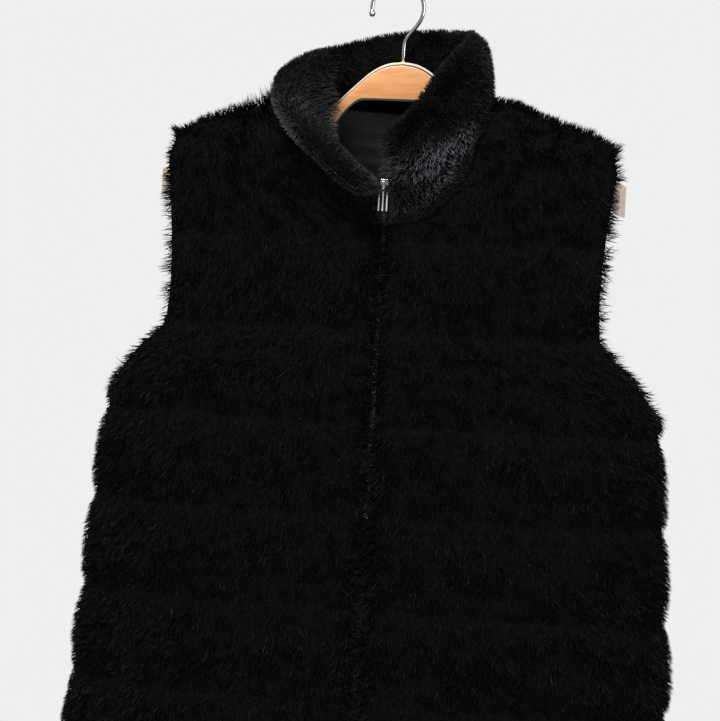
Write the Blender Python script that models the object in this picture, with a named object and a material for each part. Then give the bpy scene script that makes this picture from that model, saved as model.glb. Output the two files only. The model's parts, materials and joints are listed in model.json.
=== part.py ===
# A sleeveless faux fur vest with a zip front and a stand collar, hanging on a two-ply wooden hanger.
# Units are metres and +Z is up. The front faces -Y and +X is the viewer's right.
# The origin is the inner crest of the hanger's hook, where a rail touches it.
# A cloth wall runs from its plain inside to the tips of the fur, so it is far thicker than bare cloth.
import math

import bmesh
import bpy
import numpy as np

SEAM_GAP = 0.0003
HALF_GAP = SEAM_GAP / 2

# Hanger: the widths, heights and depths of its wood and the sizes of its hook
WOOD_TOP = -0.075
HANGER_HALF_WIDTH = 0.215
HANGER_FORWARD = 0.050
PLY = 0.0065
FRONT_PLY_LOWER = 0.0030
WOOD_BEVEL = 0.0012
GLUE_LINE_BEVEL = 0.0004
HANGER_STATIONS = 45
# Columns: distance from the middle, drop of the top edge, drop of the bottom edge
HANGER_EDGES = (
    (0.000, 0.0000, 0.0370),
    (0.015, 0.0025, 0.0370),
    (0.030, 0.0108, 0.0372),
    (0.040, 0.0200, 0.0385),
    (0.050, 0.0300, 0.0465),
    (0.062, 0.0420, 0.0620),
    (0.095, 0.0572, 0.0830),
    (0.130, 0.0715, 0.0995),
    (0.170, 0.0890, 0.1180),
    (0.200, 0.1060, 0.1350),
    (0.215, 0.1160, 0.1440),
)
HOOK_WIRE = 0.0019
HOOK_RING = 0.0250
HOOK_SHIFT = -0.0080
HOOK_FROM_DEG = -30.0
HOOK_TO_DEG = 187.0
HOOK_NECK_TOP = -0.0620
HOOK_BALL = 0.0031
HOOK_SIDES = 10

# Body: the plain inner surface, an oval round the hanger that closes over it at the shoulders
BODY_MIDDLE_Y = -0.030
OVAL_POWER = 2.6
# Columns: height, half width, depth to the front, depth to the back
BODY_SECTIONS = (
    (-0.100, 0.2520, 0.045, 0.042),
    (-0.407, 0.2535, 0.046, 0.042),
    (-0.460, 0.2575, 0.048, 0.043),
    (-0.510, 0.2625, 0.050, 0.044),
    (-0.580, 0.2670, 0.053, 0.046),
    (-0.660, 0.2720, 0.056, 0.048),
    (-0.758, 0.2780, 0.060, 0.050),
)
HEM = -0.758
NECK_HALF_WIDTH = 0.084
NECK_PIT = -0.238
NECK_POWER = 2.3
BACK_NECK_DROP = 0.007
SHOULDER_AT_NECK = -0.1150
SHOULDER_SLOPE = 0.38
SHOULDER_TIP = 0.203
# Vertical size of the rounding from the shoulder line into the front or back, at neck and at tip
ROUND_AT_NECK = 0.058
ROUND_AT_TIP = 0.040
# Columns: height, distance of the armhole's edge from the middle
ARMHOLE_EDGE = (
    (-0.165, 0.2030),
    (-0.178, 0.2075),
    (-0.205, 0.2050),
    (-0.250, 0.2010),
    (-0.320, 0.2005),
    (-0.338, 0.2035),
    (-0.350, 0.2140),
    (-0.364, 0.2300),
    (-0.378, 0.2410),
    (-0.392, 0.2490),
    (-0.405, 0.2535),
)

# Fur: the wall's thickness at a band's crown, at its seams and at the garment's edges
PILE_CROWN = 0.0155
PILE_SEAM = 0.0095
PILE_EDGE = 0.0095
PILE_ZIP = 0.0110
PILE_HEM = 0.0105
EDGE_REACH = 0.022
FIRST_BAND_SEAM = -0.251
BAND = 0.0842
BAND_SEAMS = 7
BAND_STEPS = (0.0, 0.12, 0.34, 0.66, 0.88)
NECK_ANGLES_DEG = (0, 3, 8, 15, 24, 34, 45, 57, 72, 90)
FRONT_COLUMNS = 12
BACK_NECK_COLUMNS = 10
BACK_SHOULDER_COLUMNS = 7

# Soft folds of the hanging cloth
# Columns: side (-1 front, 1 back), x, top, bottom, height of the fold, half width
FOLDS = (
    (-1, -0.150, -0.36, -0.760, 0.0050, 0.030),
    (-1, -0.070, -0.44, -0.760, 0.0035, 0.026),
    (-1, 0.085, -0.40, -0.760, 0.0045, 0.032),
    (-1, 0.175, -0.34, -0.740, 0.0050, 0.028),
    (1, -0.165, -0.33, -0.760, 0.0050, 0.030),
    (1, -0.040, -0.42, -0.760, 0.0045, 0.034),
    (1, 0.075, -0.38, -0.760, 0.0035, 0.028),
    (1, 0.160, -0.45, -0.750, 0.0050, 0.030),
)

# Zip: half gap between the fronts, tape and chain sizes
ZIP_HALF_GAP = 0.0032
CHAIN_HALF = 0.0026
CHAIN_RISE = 0.0028
TAPE_WIDTH = 0.014
TAPE_THICK = 0.0010
TAPE_CLEAR = 0.0008
SLIDER_BOTTOM = -0.2085
SLIDER_LENGTH = 0.0110
SLIDER_HALF = 0.0042
SLIDER_THICK = 0.0050
PULL_LENGTH = 0.0235
PULL_HALF = 0.0043
PULL_THICK = 0.0016
PULL_RIB = 0.0014
PULL_EYE = 0.0018
PULL_ARM = 0.0012
PULL_EYE_END = 0.0062
PULL_SLOT_TOP = 0.0088
PIVOT_OUT = 0.0012
PIVOT_HALF = 0.0006
ARCH_HALF_WIDTH = 0.0010
ARCH_HALF_LENGTH = 0.0040
ARCH_HEIGHT = 0.0034
ARCH_BAR = 0.0011
ARCH_CORNER = 0.0009
ARCH_SUNK = 0.0010

# Collar: one band round the neck, standing on the viewer's right and fallen open on the left
COLLAR_THICK = 0.0195
COLLAR_INNER_SHARE = 0.80
ZIP_PARTING = 0.0052
PARTING_RISE = 0.006
COLLAR_SMOOTHING = 6
COLLAR_NORMAL_SMOOTHING = 10
COLLAR_STEPS = 15
COLLAR_BASE_BLEND = 0.016
# Columns: place round the neck (0 left zip edge, 1 left shoulder, 2 back, 3 right shoulder,
# 4 right zip edge), height, lean from upright of the low, middle and top part in degrees
# (outward is positive), sideways and forward drift of the rim
COLLAR_SECTIONS = (
    (0.00, 0.074, 8, 76, 124, -0.012, 0.000),
    (0.50, 0.084, -30, 62, 120, -0.010, 0.000),
    (1.00, 0.088, -56, 60, 108, -0.002, -0.004),
    (1.50, 0.079, 14, 40, 96, -0.002, 0.000),
    (1.75, 0.091, 19, 8, 14, 0.000, 0.000),
    (2.00, 0.085, 15, 4, 2, 0.000, 0.000),
    (2.50, 0.073, 12, 4, 0, 0.000, 0.000),
    (3.00, 0.070, 8, -4, -34, -0.002, -0.006),
    (3.50, 0.086, 14, -12, -38, -0.024, -0.008),
    (4.00, 0.084, 22, -2, -14, -0.012, 0.000),
)

LINING_THICK = 0.0012
LINING_BOTTOM = -0.430


def table(rows, column, at):
    """Values of a table's column, read as a smooth curve over its first column."""
    places = np.array([row[0] for row in rows], float)
    values = np.array([row[column] for row in rows], float)
    if places[0] > places[-1]:
        places = places[::-1]
        values = values[::-1]
    slopes = np.gradient(values, places)
    at = np.clip(np.asarray(at, float), places[0], places[-1])
    i = np.clip(np.searchsorted(places, at, side="right") - 1, 0, len(places) - 2)
    step = places[i + 1] - places[i]
    t = (at - places[i]) / step
    start = values[i] * (2 * t**3 - 3 * t**2 + 1) + slopes[i] * step * (t**3 - 2 * t**2 + t)
    end = values[i + 1] * (3 * t**2 - 2 * t**3) + slopes[i + 1] * step * (t**3 - t**2)
    return start + end


def ease(value):
    """0 to 1 with level ends."""
    t = np.clip(value, 0, 1)
    return t * t * (3 - 2 * t)


def unit(vectors):
    return vectors / np.linalg.norm(vectors, axis=-1, keepdims=True)


def material(name, colour, roughness, metallic=0.0):
    made = bpy.data.materials.new(name)
    made.use_nodes = True
    shader = made.node_tree.nodes["Principled BSDF"]
    shader.inputs["Base Color"].default_value = (*colour, 1)
    shader.inputs["Roughness"].default_value = roughness
    shader.inputs["Metallic"].default_value = metallic
    return made


def mesh_object(name, points, faces, made_of, smooth=True):
    mesh = bpy.data.meshes.new(name)
    mesh.from_pydata([tuple(p) for p in np.asarray(points, float).tolist()], [], faces)
    mesh.update()
    turned = bmesh.new()
    turned.from_mesh(mesh)
    bmesh.ops.recalc_face_normals(turned, faces=turned.faces)
    turned.to_mesh(mesh)
    turned.free()
    if smooth:
        mesh.shade_smooth()
        mesh.set_sharp_from_angle(angle=math.radians(40))
    obj = bpy.data.objects.new(name, mesh)
    mesh.materials.append(made_of)
    bpy.context.scene.collection.objects.link(obj)
    return obj


def wall(name, inside, outside, made_of):
    """One closed wall between two grids of points of the same shape."""
    rows, columns = inside.shape[:2]
    points = np.concatenate([inside.reshape(-1, 3), outside.reshape(-1, 3)])
    index = np.arange(rows * columns).reshape(rows, columns)
    back = rows * columns
    a, b, c, d = index[:-1, :-1], index[:-1, 1:], index[1:, 1:], index[1:, :-1]
    inner = np.stack([a, b, c, d], axis=-1).reshape(-1, 4)
    outer = np.stack([a, d, c, b], axis=-1).reshape(-1, 4) + back
    faces = inner.tolist() + outer.tolist()
    border = index[0, :].tolist() + index[1:, -1].tolist()
    border += index[-1, -2::-1].tolist() + index[-2:0:-1, 0].tolist()
    for here, after in zip(border, border[1:] + border[:1]):
        faces.append((after, here, here + back, after + back))
    return mesh_object(name, points, faces, made_of)


def swept(name, rings, made_of):
    """A closed solid through rings of points, with flat ends."""
    stations, sides = rings.shape[:2]
    faces = []
    for i in range(stations - 1):
        for j in range(sides):
            k = (j + 1) % sides
            faces.append((i * sides + j, i * sides + k, (i + 1) * sides + k, (i + 1) * sides + j))
    faces.append(tuple(range(sides)))
    faces.append(tuple((stations - 1) * sides + j for j in reversed(range(sides))))
    return mesh_object(name, rings.reshape(-1, 3), faces, made_of)


def plate(name, xs, zs, filled, y_front, y_back, made_of):
    """A flat plate made of the filled cells between the lines xs and zs, cut through elsewhere."""
    index = {}
    points = []
    faces = []

    def corner(i, k, front):
        key = (i, k, front)
        if key not in index:
            index[key] = len(points)
            points.append((xs[i], y_front if front else y_back, zs[k]))
        return index[key]

    cells = {(i, k) for k, row in enumerate(filled) for i, mark in enumerate(row) if mark == "#"}
    for i, k in sorted(cells):
        around = [(i, k), (i + 1, k), (i + 1, k + 1), (i, k + 1)]
        faces.append([corner(*at, True) for at in around])
        faces.append([corner(*at, False) for at in reversed(around)])
        sides = (((i, k - 1), 0, 1), ((i + 1, k), 1, 2), ((i, k + 1), 2, 3), ((i - 1, k), 3, 0))
        for neighbour, start, end in sides:
            if neighbour not in cells:
                low, high = around[start], around[end]
                front_edge = [corner(*high, True), corner(*low, True)]
                faces.append(front_edge + [corner(*low, False), corner(*high, False)])
    return mesh_object(name, points, faces, made_of, smooth=False)


def arm_y(x):
    """Forward sweep of the hanger's middle plane, and of the shoulder line over it."""
    return -PLY / 2 - HANGER_FORWARD * (np.abs(x) / HANGER_HALF_WIDTH) ** 2


def shoulder_z(x):
    return SHOULDER_AT_NECK - SHOULDER_SLOPE * (np.abs(x) - NECK_HALF_WIDTH)


def fold_rise(side, x, z):
    """Height of the soft folds above the plain body at (x, z)."""
    rise = np.zeros(np.broadcast(x, z).shape)
    for which, middle, top, bottom, height, half in FOLDS:
        if which == side:
            along = ease((top - z) / 0.12) * ease((z - bottom) / 0.05 + 1)
            rise = rise + height * along * np.exp(-(((x - middle) / half) ** 2))
    return rise


def body_y(side, x, z):
    """y of the plain inner surface: side -1 is the front and 1 the back."""
    half_width = table(BODY_SECTIONS, 1, z)
    depth = table(BODY_SECTIONS, 2 if side < 0 else 3, z)
    across = np.clip(1 - (np.abs(x) / half_width) ** OVAL_POWER, 0, 1) ** (1 / OVAL_POWER)
    plain = BODY_MIDDLE_Y + side * depth * across
    plain = plain + side * fold_rise(side, x, z) * np.minimum(across * 1.5, 1)
    toward_tip = (np.abs(x) - NECK_HALF_WIDTH) / (SHOULDER_TIP - NECK_HALF_WIDTH)
    rounding = ROUND_AT_NECK + (ROUND_AT_TIP - ROUND_AT_NECK) * np.clip(toward_tip, 0, 1)
    down = np.clip((shoulder_z(x) - z) / rounding, 0, 1)
    out = np.sqrt(np.clip(1 - (1 - down) ** 2, 0, 1))
    ridge = arm_y(np.minimum(np.abs(x), SHOULDER_TIP))
    over = np.abs(x) < HANGER_HALF_WIDTH
    return np.where(over, ridge + (plain - ridge) * out, plain) + side * HALF_GAP


def row_heights():
    """Heights of the level rows below the neck: the band seams and the rows between them."""
    heights = []
    for band in range(BAND_SEAMS):
        top = FIRST_BAND_SEAM - band * BAND
        for step in BAND_STEPS:
            z = top - step * BAND
            if z > HEM + 0.006:
                heights.append(z)
    heights.append(HEM)
    return np.array(heights)


def band_pile(z):
    """Thickness of the fur wall at height z: full in a band's middle, low at its seams."""
    place = (FIRST_BAND_SEAM - z) / BAND
    away = np.abs(place - np.round(place)) * 2
    in_bands = ease((FIRST_BAND_SEAM + BAND / 3 - z) / (BAND / 3))
    groove = (1 - away) ** 3 * in_bands
    return PILE_CROWN - (PILE_CROWN - PILE_SEAM) * groove


def outward_normals(grid, outward):
    """Unit normals of a grid of points, turned to the side of the rough direction given."""
    normals = unit(np.cross(np.gradient(grid, axis=0), np.gradient(grid, axis=1)))
    turn = np.sign((normals * outward).sum(axis=-1, keepdims=True))
    return normals * np.where(turn == 0, 1, turn)


def front_grid(hand):
    """Inner points, outward normals and thickness of one front. hand is -1 for the viewer's left."""
    angles = np.radians(np.array(NECK_ANGLES_DEG, float))
    neck_x = np.maximum(NECK_HALF_WIDTH * np.cos(angles) ** (2 / NECK_POWER), ZIP_HALF_GAP)
    fraction = np.sin(angles) ** (2 / NECK_POWER)
    neck_z = SHOULDER_AT_NECK + fraction * (NECK_PIT - SHOULDER_AT_NECK)
    tip_z = shoulder_z(SHOULDER_TIP)
    lower = row_heights()
    inner_x = np.concatenate([neck_x, np.full(len(lower), ZIP_HALF_GAP)])
    inner_z = np.concatenate([neck_z, lower])
    outer_z = np.concatenate([tip_z + fraction * (NECK_PIT - tip_z), lower])
    half_width = table(BODY_SECTIONS, 1, outer_z)
    below = outer_z < ARMHOLE_EDGE[-1][0]
    outer_x = np.where(below, half_width, np.minimum(table(ARMHOLE_EDGE, 1, outer_z), half_width))
    u = np.linspace(0, 1, FRONT_COLUMNS)
    bunched = ease((outer_x / half_width - 0.78) / 0.22)[:, None]
    spread = u + (np.sin(u * math.pi / 2) - u) * bunched
    x = inner_x[:, None] + (outer_x - inner_x)[:, None] * spread
    z = inner_z[:, None] + (outer_z - inner_z)[:, None] * u
    z[0] = shoulder_z(x[0])
    grid = np.stack([x, body_y(-1, x, z), z], axis=-1)
    normals = outward_normals(grid, np.array([0.3, -1.0, 0.3]))
    normals[0, :, 1] = 0
    normals[below, -1] = (1, 0, 0)
    normals[len(angles):, 0, 0] = 0
    normals = unit(normals)
    from_armhole = np.where(below, 1.0, 0.0)[:, None] + (outer_x[:, None] - x) / EDGE_REACH
    from_neck = np.full(x.shape, 1.0)
    rows = len(angles)
    from_neck[:rows] = (x[:rows] - neck_x[:, None]) / EDGE_REACH
    thick = PILE_EDGE + (band_pile(z) - PILE_EDGE) * ease(from_armhole)
    thick = np.minimum(thick, PILE_EDGE + (PILE_CROWN - PILE_EDGE) * ease(from_neck))
    from_zip = ease((x - ZIP_HALF_GAP) / EDGE_REACH)
    zip_rows = np.arange(len(inner_x))[:, None] >= rows - 1
    thick = np.where(zip_rows, np.minimum(thick, PILE_ZIP + (PILE_CROWN - PILE_ZIP) * from_zip), thick)
    thick[-1] = np.minimum(thick[-1], PILE_HEM)
    mirror = np.array([hand, 1, 1])
    return grid * mirror, normals * mirror, thick


def back_grid():
    """Inner points, outward normals and thickness of the back, from the viewer's left to right."""
    lower = row_heights()
    rounding = np.sin(np.radians(np.array(NECK_ANGLES_DEG, float))) ** (2 / NECK_POWER)
    tip_z = shoulder_z(SHOULDER_TIP)
    side_z = np.concatenate([tip_z + rounding * (NECK_PIT - tip_z), lower])
    half_width = table(BODY_SECTIONS, 1, side_z)
    below = side_z < ARMHOLE_EDGE[-1][0]
    side_x = np.where(below, half_width, np.minimum(table(ARMHOLE_EDGE, 1, side_z), half_width))
    neck = np.linspace(-1, 1, BACK_NECK_COLUMNS + 1)
    shoulder = np.linspace(0, 1, BACK_SHOULDER_COLUMNS + 1)[1:]
    neck_x = NECK_HALF_WIDTH * np.sin(neck * math.pi / 2)
    rows = len(side_x)
    bunched = ease((side_x / half_width - 0.78) / 0.22)[:, None]
    spread = shoulder + (np.sin(shoulder * math.pi / 2) ** 0.8 - shoulder) * bunched
    right = NECK_HALF_WIDTH + (side_x - NECK_HALF_WIDTH)[:, None] * spread
    x = np.concatenate([-right[:, ::-1], np.repeat(neck_x[None], rows, axis=0), right], axis=1)
    top = shoulder_z(x[0])
    in_neck = np.abs(x[0]) < NECK_HALF_WIDTH - 1e-6
    dip = BACK_NECK_DROP * (1 - (x[0] / NECK_HALF_WIDTH) ** 2)
    top = np.where(in_neck, SHOULDER_AT_NECK - dip, top)
    levels = len(NECK_ANGLES_DEG)
    z = np.repeat(side_z[:, None], x.shape[1], axis=1)
    z[:levels] = top[None] + rounding[:, None] * (NECK_PIT - top[None])
    grid = np.stack([x, body_y(1, x, z), z], axis=-1)
    normals = outward_normals(grid, np.array([0.0, 1.0, 0.3]))
    normals[0, ~in_neck, 1] = 0
    normals[below, 0] = (-1, 0, 0)
    normals[below, -1] = (1, 0, 0)
    normals = unit(normals)
    from_armhole = np.where(below, 1.0, 0.0)[:, None] + (side_x[:, None] - np.abs(x)) / EDGE_REACH
    thick = PILE_EDGE + (band_pile(z) - PILE_EDGE) * ease(from_armhole)
    beside_neck = np.where(in_neck[None], 0, np.abs(x) - NECK_HALF_WIDTH)
    from_neck = (beside_neck + top[None] - z) / EDGE_REACH
    thick = np.minimum(thick, PILE_EDGE + (PILE_CROWN - PILE_EDGE) * ease(from_neck))
    thick[-1] = np.minimum(thick[-1], PILE_HEM)
    return grid, normals, thick, in_neck


def collar_base(left, right, back):
    """Neck seam points, seam normals and wall thickness, from the left zip edge round to the right one."""
    rows = len(NECK_ANGLES_DEG)
    middle = np.flatnonzero(back[3])
    joined = []
    for k in range(3):
        parts = (left[k][:rows, 0][::-1], back[k][0, middle], right[k][:rows, 0])
        joined.append(np.concatenate(parts))
    place = np.concatenate(
        [
            np.linspace(0, 1, rows),
            np.linspace(1, 3, len(middle) + 2)[1:-1],
            np.linspace(3, 4, rows),
        ]
    )
    return joined, place


def smoothed(rows, passes):
    """Rows of vectors evened out along their first axis, with the ends kept."""
    rows = rows.copy()
    for _ in range(passes):
        rows[1:-1] = rows[1:-1] / 2 + (rows[:-2] + rows[2:]) / 4
    return rows


def collar_grids(left, right, back):
    """Inner and outer faces of the collar, which leans and rolls as its table says."""
    (seam, normal, seam_thick), place = collar_base(left, right, back)
    along = unit(np.gradient(seam, axis=0))
    toward_neck = unit(np.cross(normal, along))
    toward_neck *= np.sign(toward_neck[:, 2:3] + 0.2)
    start = seam + normal * seam_thick[:, None] / 2 + toward_neck * SEAM_GAP
    flat_along = unit(along * np.array([1, 1, 0]))
    outward = np.cross(flat_along, np.array([0, 0, 1.0]))
    centre = np.array([0, BODY_MIDDLE_Y, 0])
    outward *= np.sign(((seam - centre) * outward).sum(axis=1, keepdims=True))
    outward[[0, -1]] = (0, -1, 0)
    outward = unit(smoothed(outward, COLLAR_SMOOTHING))
    toward_neck[[0, -1], 0] = 0
    toward_neck = unit(toward_neck)
    height = table(COLLAR_SECTIONS, 1, place)
    leans = [table(COLLAR_SECTIONS, column, place) for column in (2, 3, 4)]
    drift = [table(COLLAR_SECTIONS, column, place) for column in (5, 6)]
    steps = np.linspace(0, 1, COLLAR_STEPS)
    line = [start]
    for here, after in zip(steps, steps[1:]):
        middle = (here + after) / 2
        lean = leans[0] + (leans[1] - leans[0]) * ease((middle - 0.22) / 0.36)
        lean = lean + (leans[2] - leans[1]) * ease((middle - 0.52) / 0.40)
        lean = np.radians(lean)[:, None]
        free = np.cos(lean) * np.array([0, 0, 1.0]) + np.sin(lean) * outward
        grown = ease(middle * height / COLLAR_BASE_BLEND)[:, None]
        direction = unit(toward_neck * (1 - grown) + free * grown)
        line.append(line[-1] + direction * ((after - here) * height)[:, None])
    line = np.array(line)
    for k in range(1, COLLAR_STEPS):
        line[k] = smoothed(line[k], round(COLLAR_SMOOTHING * float(ease(2 * steps[k]))))
    shift = (steps**4)[:, None]
    line[:, :, 0] += shift * drift[0]
    line[:, :, 1] += shift * drift[1]
    parting = ZIP_PARTING * ease(steps * height[0] / PARTING_RISE)
    beside_zip = np.stack([ease(1 - place * 4), ease(1 - (place[-1] - place) * 4)])
    line[:, :, 0] += parting[:, None] * (beside_zip[1] - beside_zip[0])
    normals = unit(np.cross(np.gradient(line, axis=0), np.gradient(line, axis=1)))
    normals *= np.sign((normals[0] * normal).sum(axis=1))[None, :, None]
    half = np.empty((COLLAR_STEPS, len(place)))
    swell = ease((steps - 0.06) / 0.44)[:, None]
    half[:] = seam_thick / 2 + (COLLAR_THICK / 2 - seam_thick / 2) * swell
    to_rim = (1 - steps)[:, None] * height / (COLLAR_THICK * 0.6)
    half *= np.sqrt(np.clip(1 - (1 - np.clip(to_rim, 0, 1)) ** 2, 0.02, 1))
    for k in range(1, COLLAR_STEPS):
        passes = round(COLLAR_NORMAL_SMOOTHING * float(ease(2 * steps[k])))
        normals[k] = unit(smoothed(normals[k], passes))
    normals[0] = normal
    inner_share = 1 - (1 - COLLAR_INNER_SHARE) * swell
    outer_share = 2 - inner_share
    inner = line - normals * (half * inner_share)[..., None]
    return inner, line + normals * (half * outer_share)[..., None]


def hanger_ply(name, lower, y_from, y_to, made_of):
    """One ply of the hanger: a plate that follows the forward curve, with bevelled face edges."""
    x = HANGER_HALF_WIDTH * np.linspace(-1, 1, HANGER_STATIONS)
    top = WOOD_TOP - table(HANGER_EDGES, 1, np.abs(x)) - lower
    bottom = WOOD_TOP - table(HANGER_EDGES, 2, np.abs(x))
    slope = -2 * HANGER_FORWARD * x / HANGER_HALF_WIDTH**2
    across = unit(np.stack([-slope, np.ones_like(x), np.zeros_like(x)], axis=-1))
    middle = np.stack([x, arm_y(x), np.zeros_like(x)], axis=-1)
    front_bevel = WOOD_BEVEL if lower else GLUE_LINE_BEVEL
    back_bevel = GLUE_LINE_BEVEL if lower else WOOD_BEVEL
    profile = (
        (y_from, -front_bevel, 1),
        (y_from + front_bevel, 0, 1),
        (y_to - back_bevel, 0, 1),
        (y_to, -back_bevel, 1),
        (y_to, back_bevel, 0),
        (y_to - back_bevel, 0, 0),
        (y_from + front_bevel, 0, 0),
        (y_from, front_bevel, 0),
    )
    rings = []
    for offset, rise, is_top in profile:
        edge = top if is_top else bottom
        rings.append(middle + across * offset + np.stack([x * 0, x * 0, edge + rise], axis=-1))
    return swept(name, np.stack(rings, axis=1), made_of)


def hook(made_of):
    """A round wire from the wood up into an open ring, with a ball at its tip."""
    centre = np.array([HOOK_SHIFT, HOOK_WIRE - HOOK_RING])
    turn = np.radians(np.linspace(HOOK_FROM_DEG, HOOK_TO_DEG, 30))
    ring = centre + HOOK_RING * np.stack([np.cos(turn), np.sin(turn)], axis=-1)
    foot = np.array([0.0, HOOK_NECK_TOP])
    reach = HOOK_RING / 2
    down = np.array([math.sin(turn[0]), -math.cos(turn[0])])
    t = np.linspace(0, 1, 9)[:-1, None]
    bend = (1 - t) ** 3 * foot + 3 * (1 - t) ** 2 * t * (foot + (0, reach))
    bend = bend + 3 * (1 - t) * t**2 * (ring[0] + down * reach) + t**3 * ring[0]
    base = np.array([[0.0, WOOD_TOP + SEAM_GAP]])
    path = np.concatenate([base, bend, ring])
    tangent = unit(np.gradient(path, axis=0))
    turned = np.stack([-tangent[:, 1], tangent[:, 0]], axis=-1)
    rings = []
    for side in range(HOOK_SIDES):
        angle = 2 * math.pi * side / HOOK_SIDES
        flat = path + turned * (HOOK_WIRE * math.cos(angle))
        y = np.full(len(path), HOOK_WIRE * math.sin(angle))
        rings.append(np.stack([flat[:, 0], y, flat[:, 1]], axis=-1))
    rings = np.stack(rings, axis=1)
    rings[0, :, 2] = WOOD_TOP + SEAM_GAP
    tip = np.array([path[-1, 0], 0.0, path[-1, 1]])
    heading = np.array([tangent[-1, 0], 0.0, tangent[-1, 1]])
    grown = []
    for angle in np.radians(np.linspace(-50, 75, 6)):
        ball_centre = tip + heading * HOOK_BALL * 0.8
        radius = HOOK_BALL * math.cos(angle)
        direction = unit(rings[-1] - tip)
        grown.append(ball_centre + heading * HOOK_BALL * math.sin(angle) + direction * radius)
    return swept("hanger_hook", np.concatenate([rings, np.array(grown)]), made_of)


def zip_line(z):
    """y of the fronts' inner face along the middle, carried on upward past the neck seam."""
    below = np.minimum(z, NECK_PIT)
    lean = math.tan(math.radians(COLLAR_SECTIONS[-1][2])) * 0.6
    return body_y(-1, np.full_like(below, ZIP_HALF_GAP), below) - np.maximum(z - NECK_PIT, 0) * lean


def zip_tape(name, hand, made_of):
    """Half of the closed zip: a tape behind one front with its half of the chain standing forward."""
    above = np.linspace(SLIDER_BOTTOM - SEAM_GAP, NECK_PIT, 6)
    z = np.concatenate([above, np.linspace(NECK_PIT - 0.004, HEM + 0.002, 42)])
    y = zip_line(z)
    tape_edge = np.where(z >= NECK_PIT, CHAIN_HALF + 0.0002, TAPE_WIDTH)
    clear = TAPE_CLEAR
    profile = (
        (HALF_GAP, clear + TAPE_THICK),
        (HALF_GAP, -CHAIN_RISE),
        (CHAIN_HALF, -CHAIN_RISE),
        (CHAIN_HALF, clear),
        (tape_edge, clear),
        (tape_edge, clear + TAPE_THICK),
    )
    rings = []
    for x, forward in profile:
        x = np.broadcast_to(x, z.shape)
        level = np.minimum(z, NECK_PIT)
        behind = body_y(-1, np.maximum(x, ZIP_HALF_GAP), level)
        behind = behind - body_y(-1, np.full_like(z, ZIP_HALF_GAP), level)
        rings.append(np.stack([hand * x, y + forward + behind, z], axis=-1))
    return swept(name, np.stack(rings, axis=1), made_of)


def zip_slider(made_of):
    """The slider's body with the arch that holds the pull, as one plate profile swept across."""
    middle = SLIDER_BOTTOM + SLIDER_LENGTH / 2
    y = float(zip_line(np.array([middle]))[0]) - CHAIN_RISE + SLIDER_THICK / 2
    half = SLIDER_LENGTH / 2
    outline = (
        (-SLIDER_HALF * 0.80, -half),
        (SLIDER_HALF * 0.80, -half),
        (SLIDER_HALF, half * 0.2),
        (SLIDER_HALF * 0.75, half),
        (-SLIDER_HALF * 0.75, half),
        (-SLIDER_HALF, half * 0.2),
    )
    front = [(x, y - SLIDER_THICK, middle + z) for x, z in outline]
    back = [(x, y, middle + z) for x, z in outline]
    sides = len(outline)
    faces = [tuple(range(sides)), tuple(range(2 * sides - 1, sides - 1, -1))]
    faces += [(i, i + sides, (i + 1) % sides + sides, (i + 1) % sides) for i in range(sides)]
    body = mesh_object("zip_slider", front + back, faces, made_of, smooth=False)
    arch = bridge(y - SLIDER_THICK, middle, made_of)
    arch.hide_render = True
    join = body.modifiers.new("arch", "BOOLEAN")
    join.operation = "UNION"
    join.object = arch
    arch.display_type = "WIRE"
    return y - SLIDER_THICK, middle


def bridge(face_y, middle, made_of):
    """A small square arch standing forward from the slider's face."""
    outer = ARCH_HALF_LENGTH
    inner = ARCH_HALF_LENGTH - ARCH_BAR
    outline = (
        (-outer, ARCH_SUNK),
        (-outer, ARCH_CORNER - ARCH_HEIGHT),
        (ARCH_CORNER - outer, -ARCH_HEIGHT),
        (outer - ARCH_CORNER, -ARCH_HEIGHT),
        (outer, ARCH_CORNER - ARCH_HEIGHT),
        (outer, ARCH_SUNK),
        (inner, ARCH_SUNK),
        (inner, ARCH_BAR - ARCH_HEIGHT),
        (-inner, ARCH_BAR - ARCH_HEIGHT),
        (-inner, ARCH_SUNK),
    )
    points = []
    for x in (-ARCH_HALF_WIDTH, ARCH_HALF_WIDTH):
        points += [(x, face_y + y, middle + z) for z, y in outline]
    count = len(outline)
    faces = [tuple(range(count)), tuple(range(2 * count - 1, count - 1, -1))]
    faces += [(i, i + count, (i + 1) % count + count, (i + 1) % count) for i in range(count)]
    return mesh_object("slider_arch_shape", points, faces, made_of, smooth=False)


def zip_pull(face_y, middle, made_of):
    """The pull: a crossbar under the arch and a slotted tab below it, hung from its own axis."""
    axis_y = face_y - PIVOT_OUT
    axis_z = middle
    right = [PULL_RIB / 2, PULL_EYE, PULL_EYE + PULL_ARM, PULL_HALF]
    xs = [-x for x in reversed(right)] + right
    zs = [PIVOT_HALF, -PIVOT_HALF, -PULL_EYE_END, -PULL_SLOT_TOP, PULL_ARM * 2 - PULL_LENGTH, -PULL_LENGTH]
    filled = (
        ".#####.",
        ".#...#.",
        "#######",
        "##.#.##",
        "#######",
    )
    holder = bpy.data.objects.new("pull_axis", None)
    holder.location = (0, axis_y, axis_z)
    bpy.context.scene.collection.objects.link(holder)
    obj = plate("zip_pull", xs, zs, filled, -PULL_THICK / 2, PULL_THICK / 2, made_of)
    obj.parent = holder
    return obj


def lining(back, made_of):
    """The satin lining of the upper back, which shows in the neck and at the armholes."""
    grid, normals, _, _ = back
    keep = np.flatnonzero(grid[:, 0, 2] > LINING_BOTTOM)
    inset = grid[keep] - normals[keep] * SEAM_GAP
    far = grid[keep] - normals[keep] * (SEAM_GAP + LINING_THICK)
    return wall("back_lining", far, inset, made_of)


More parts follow.
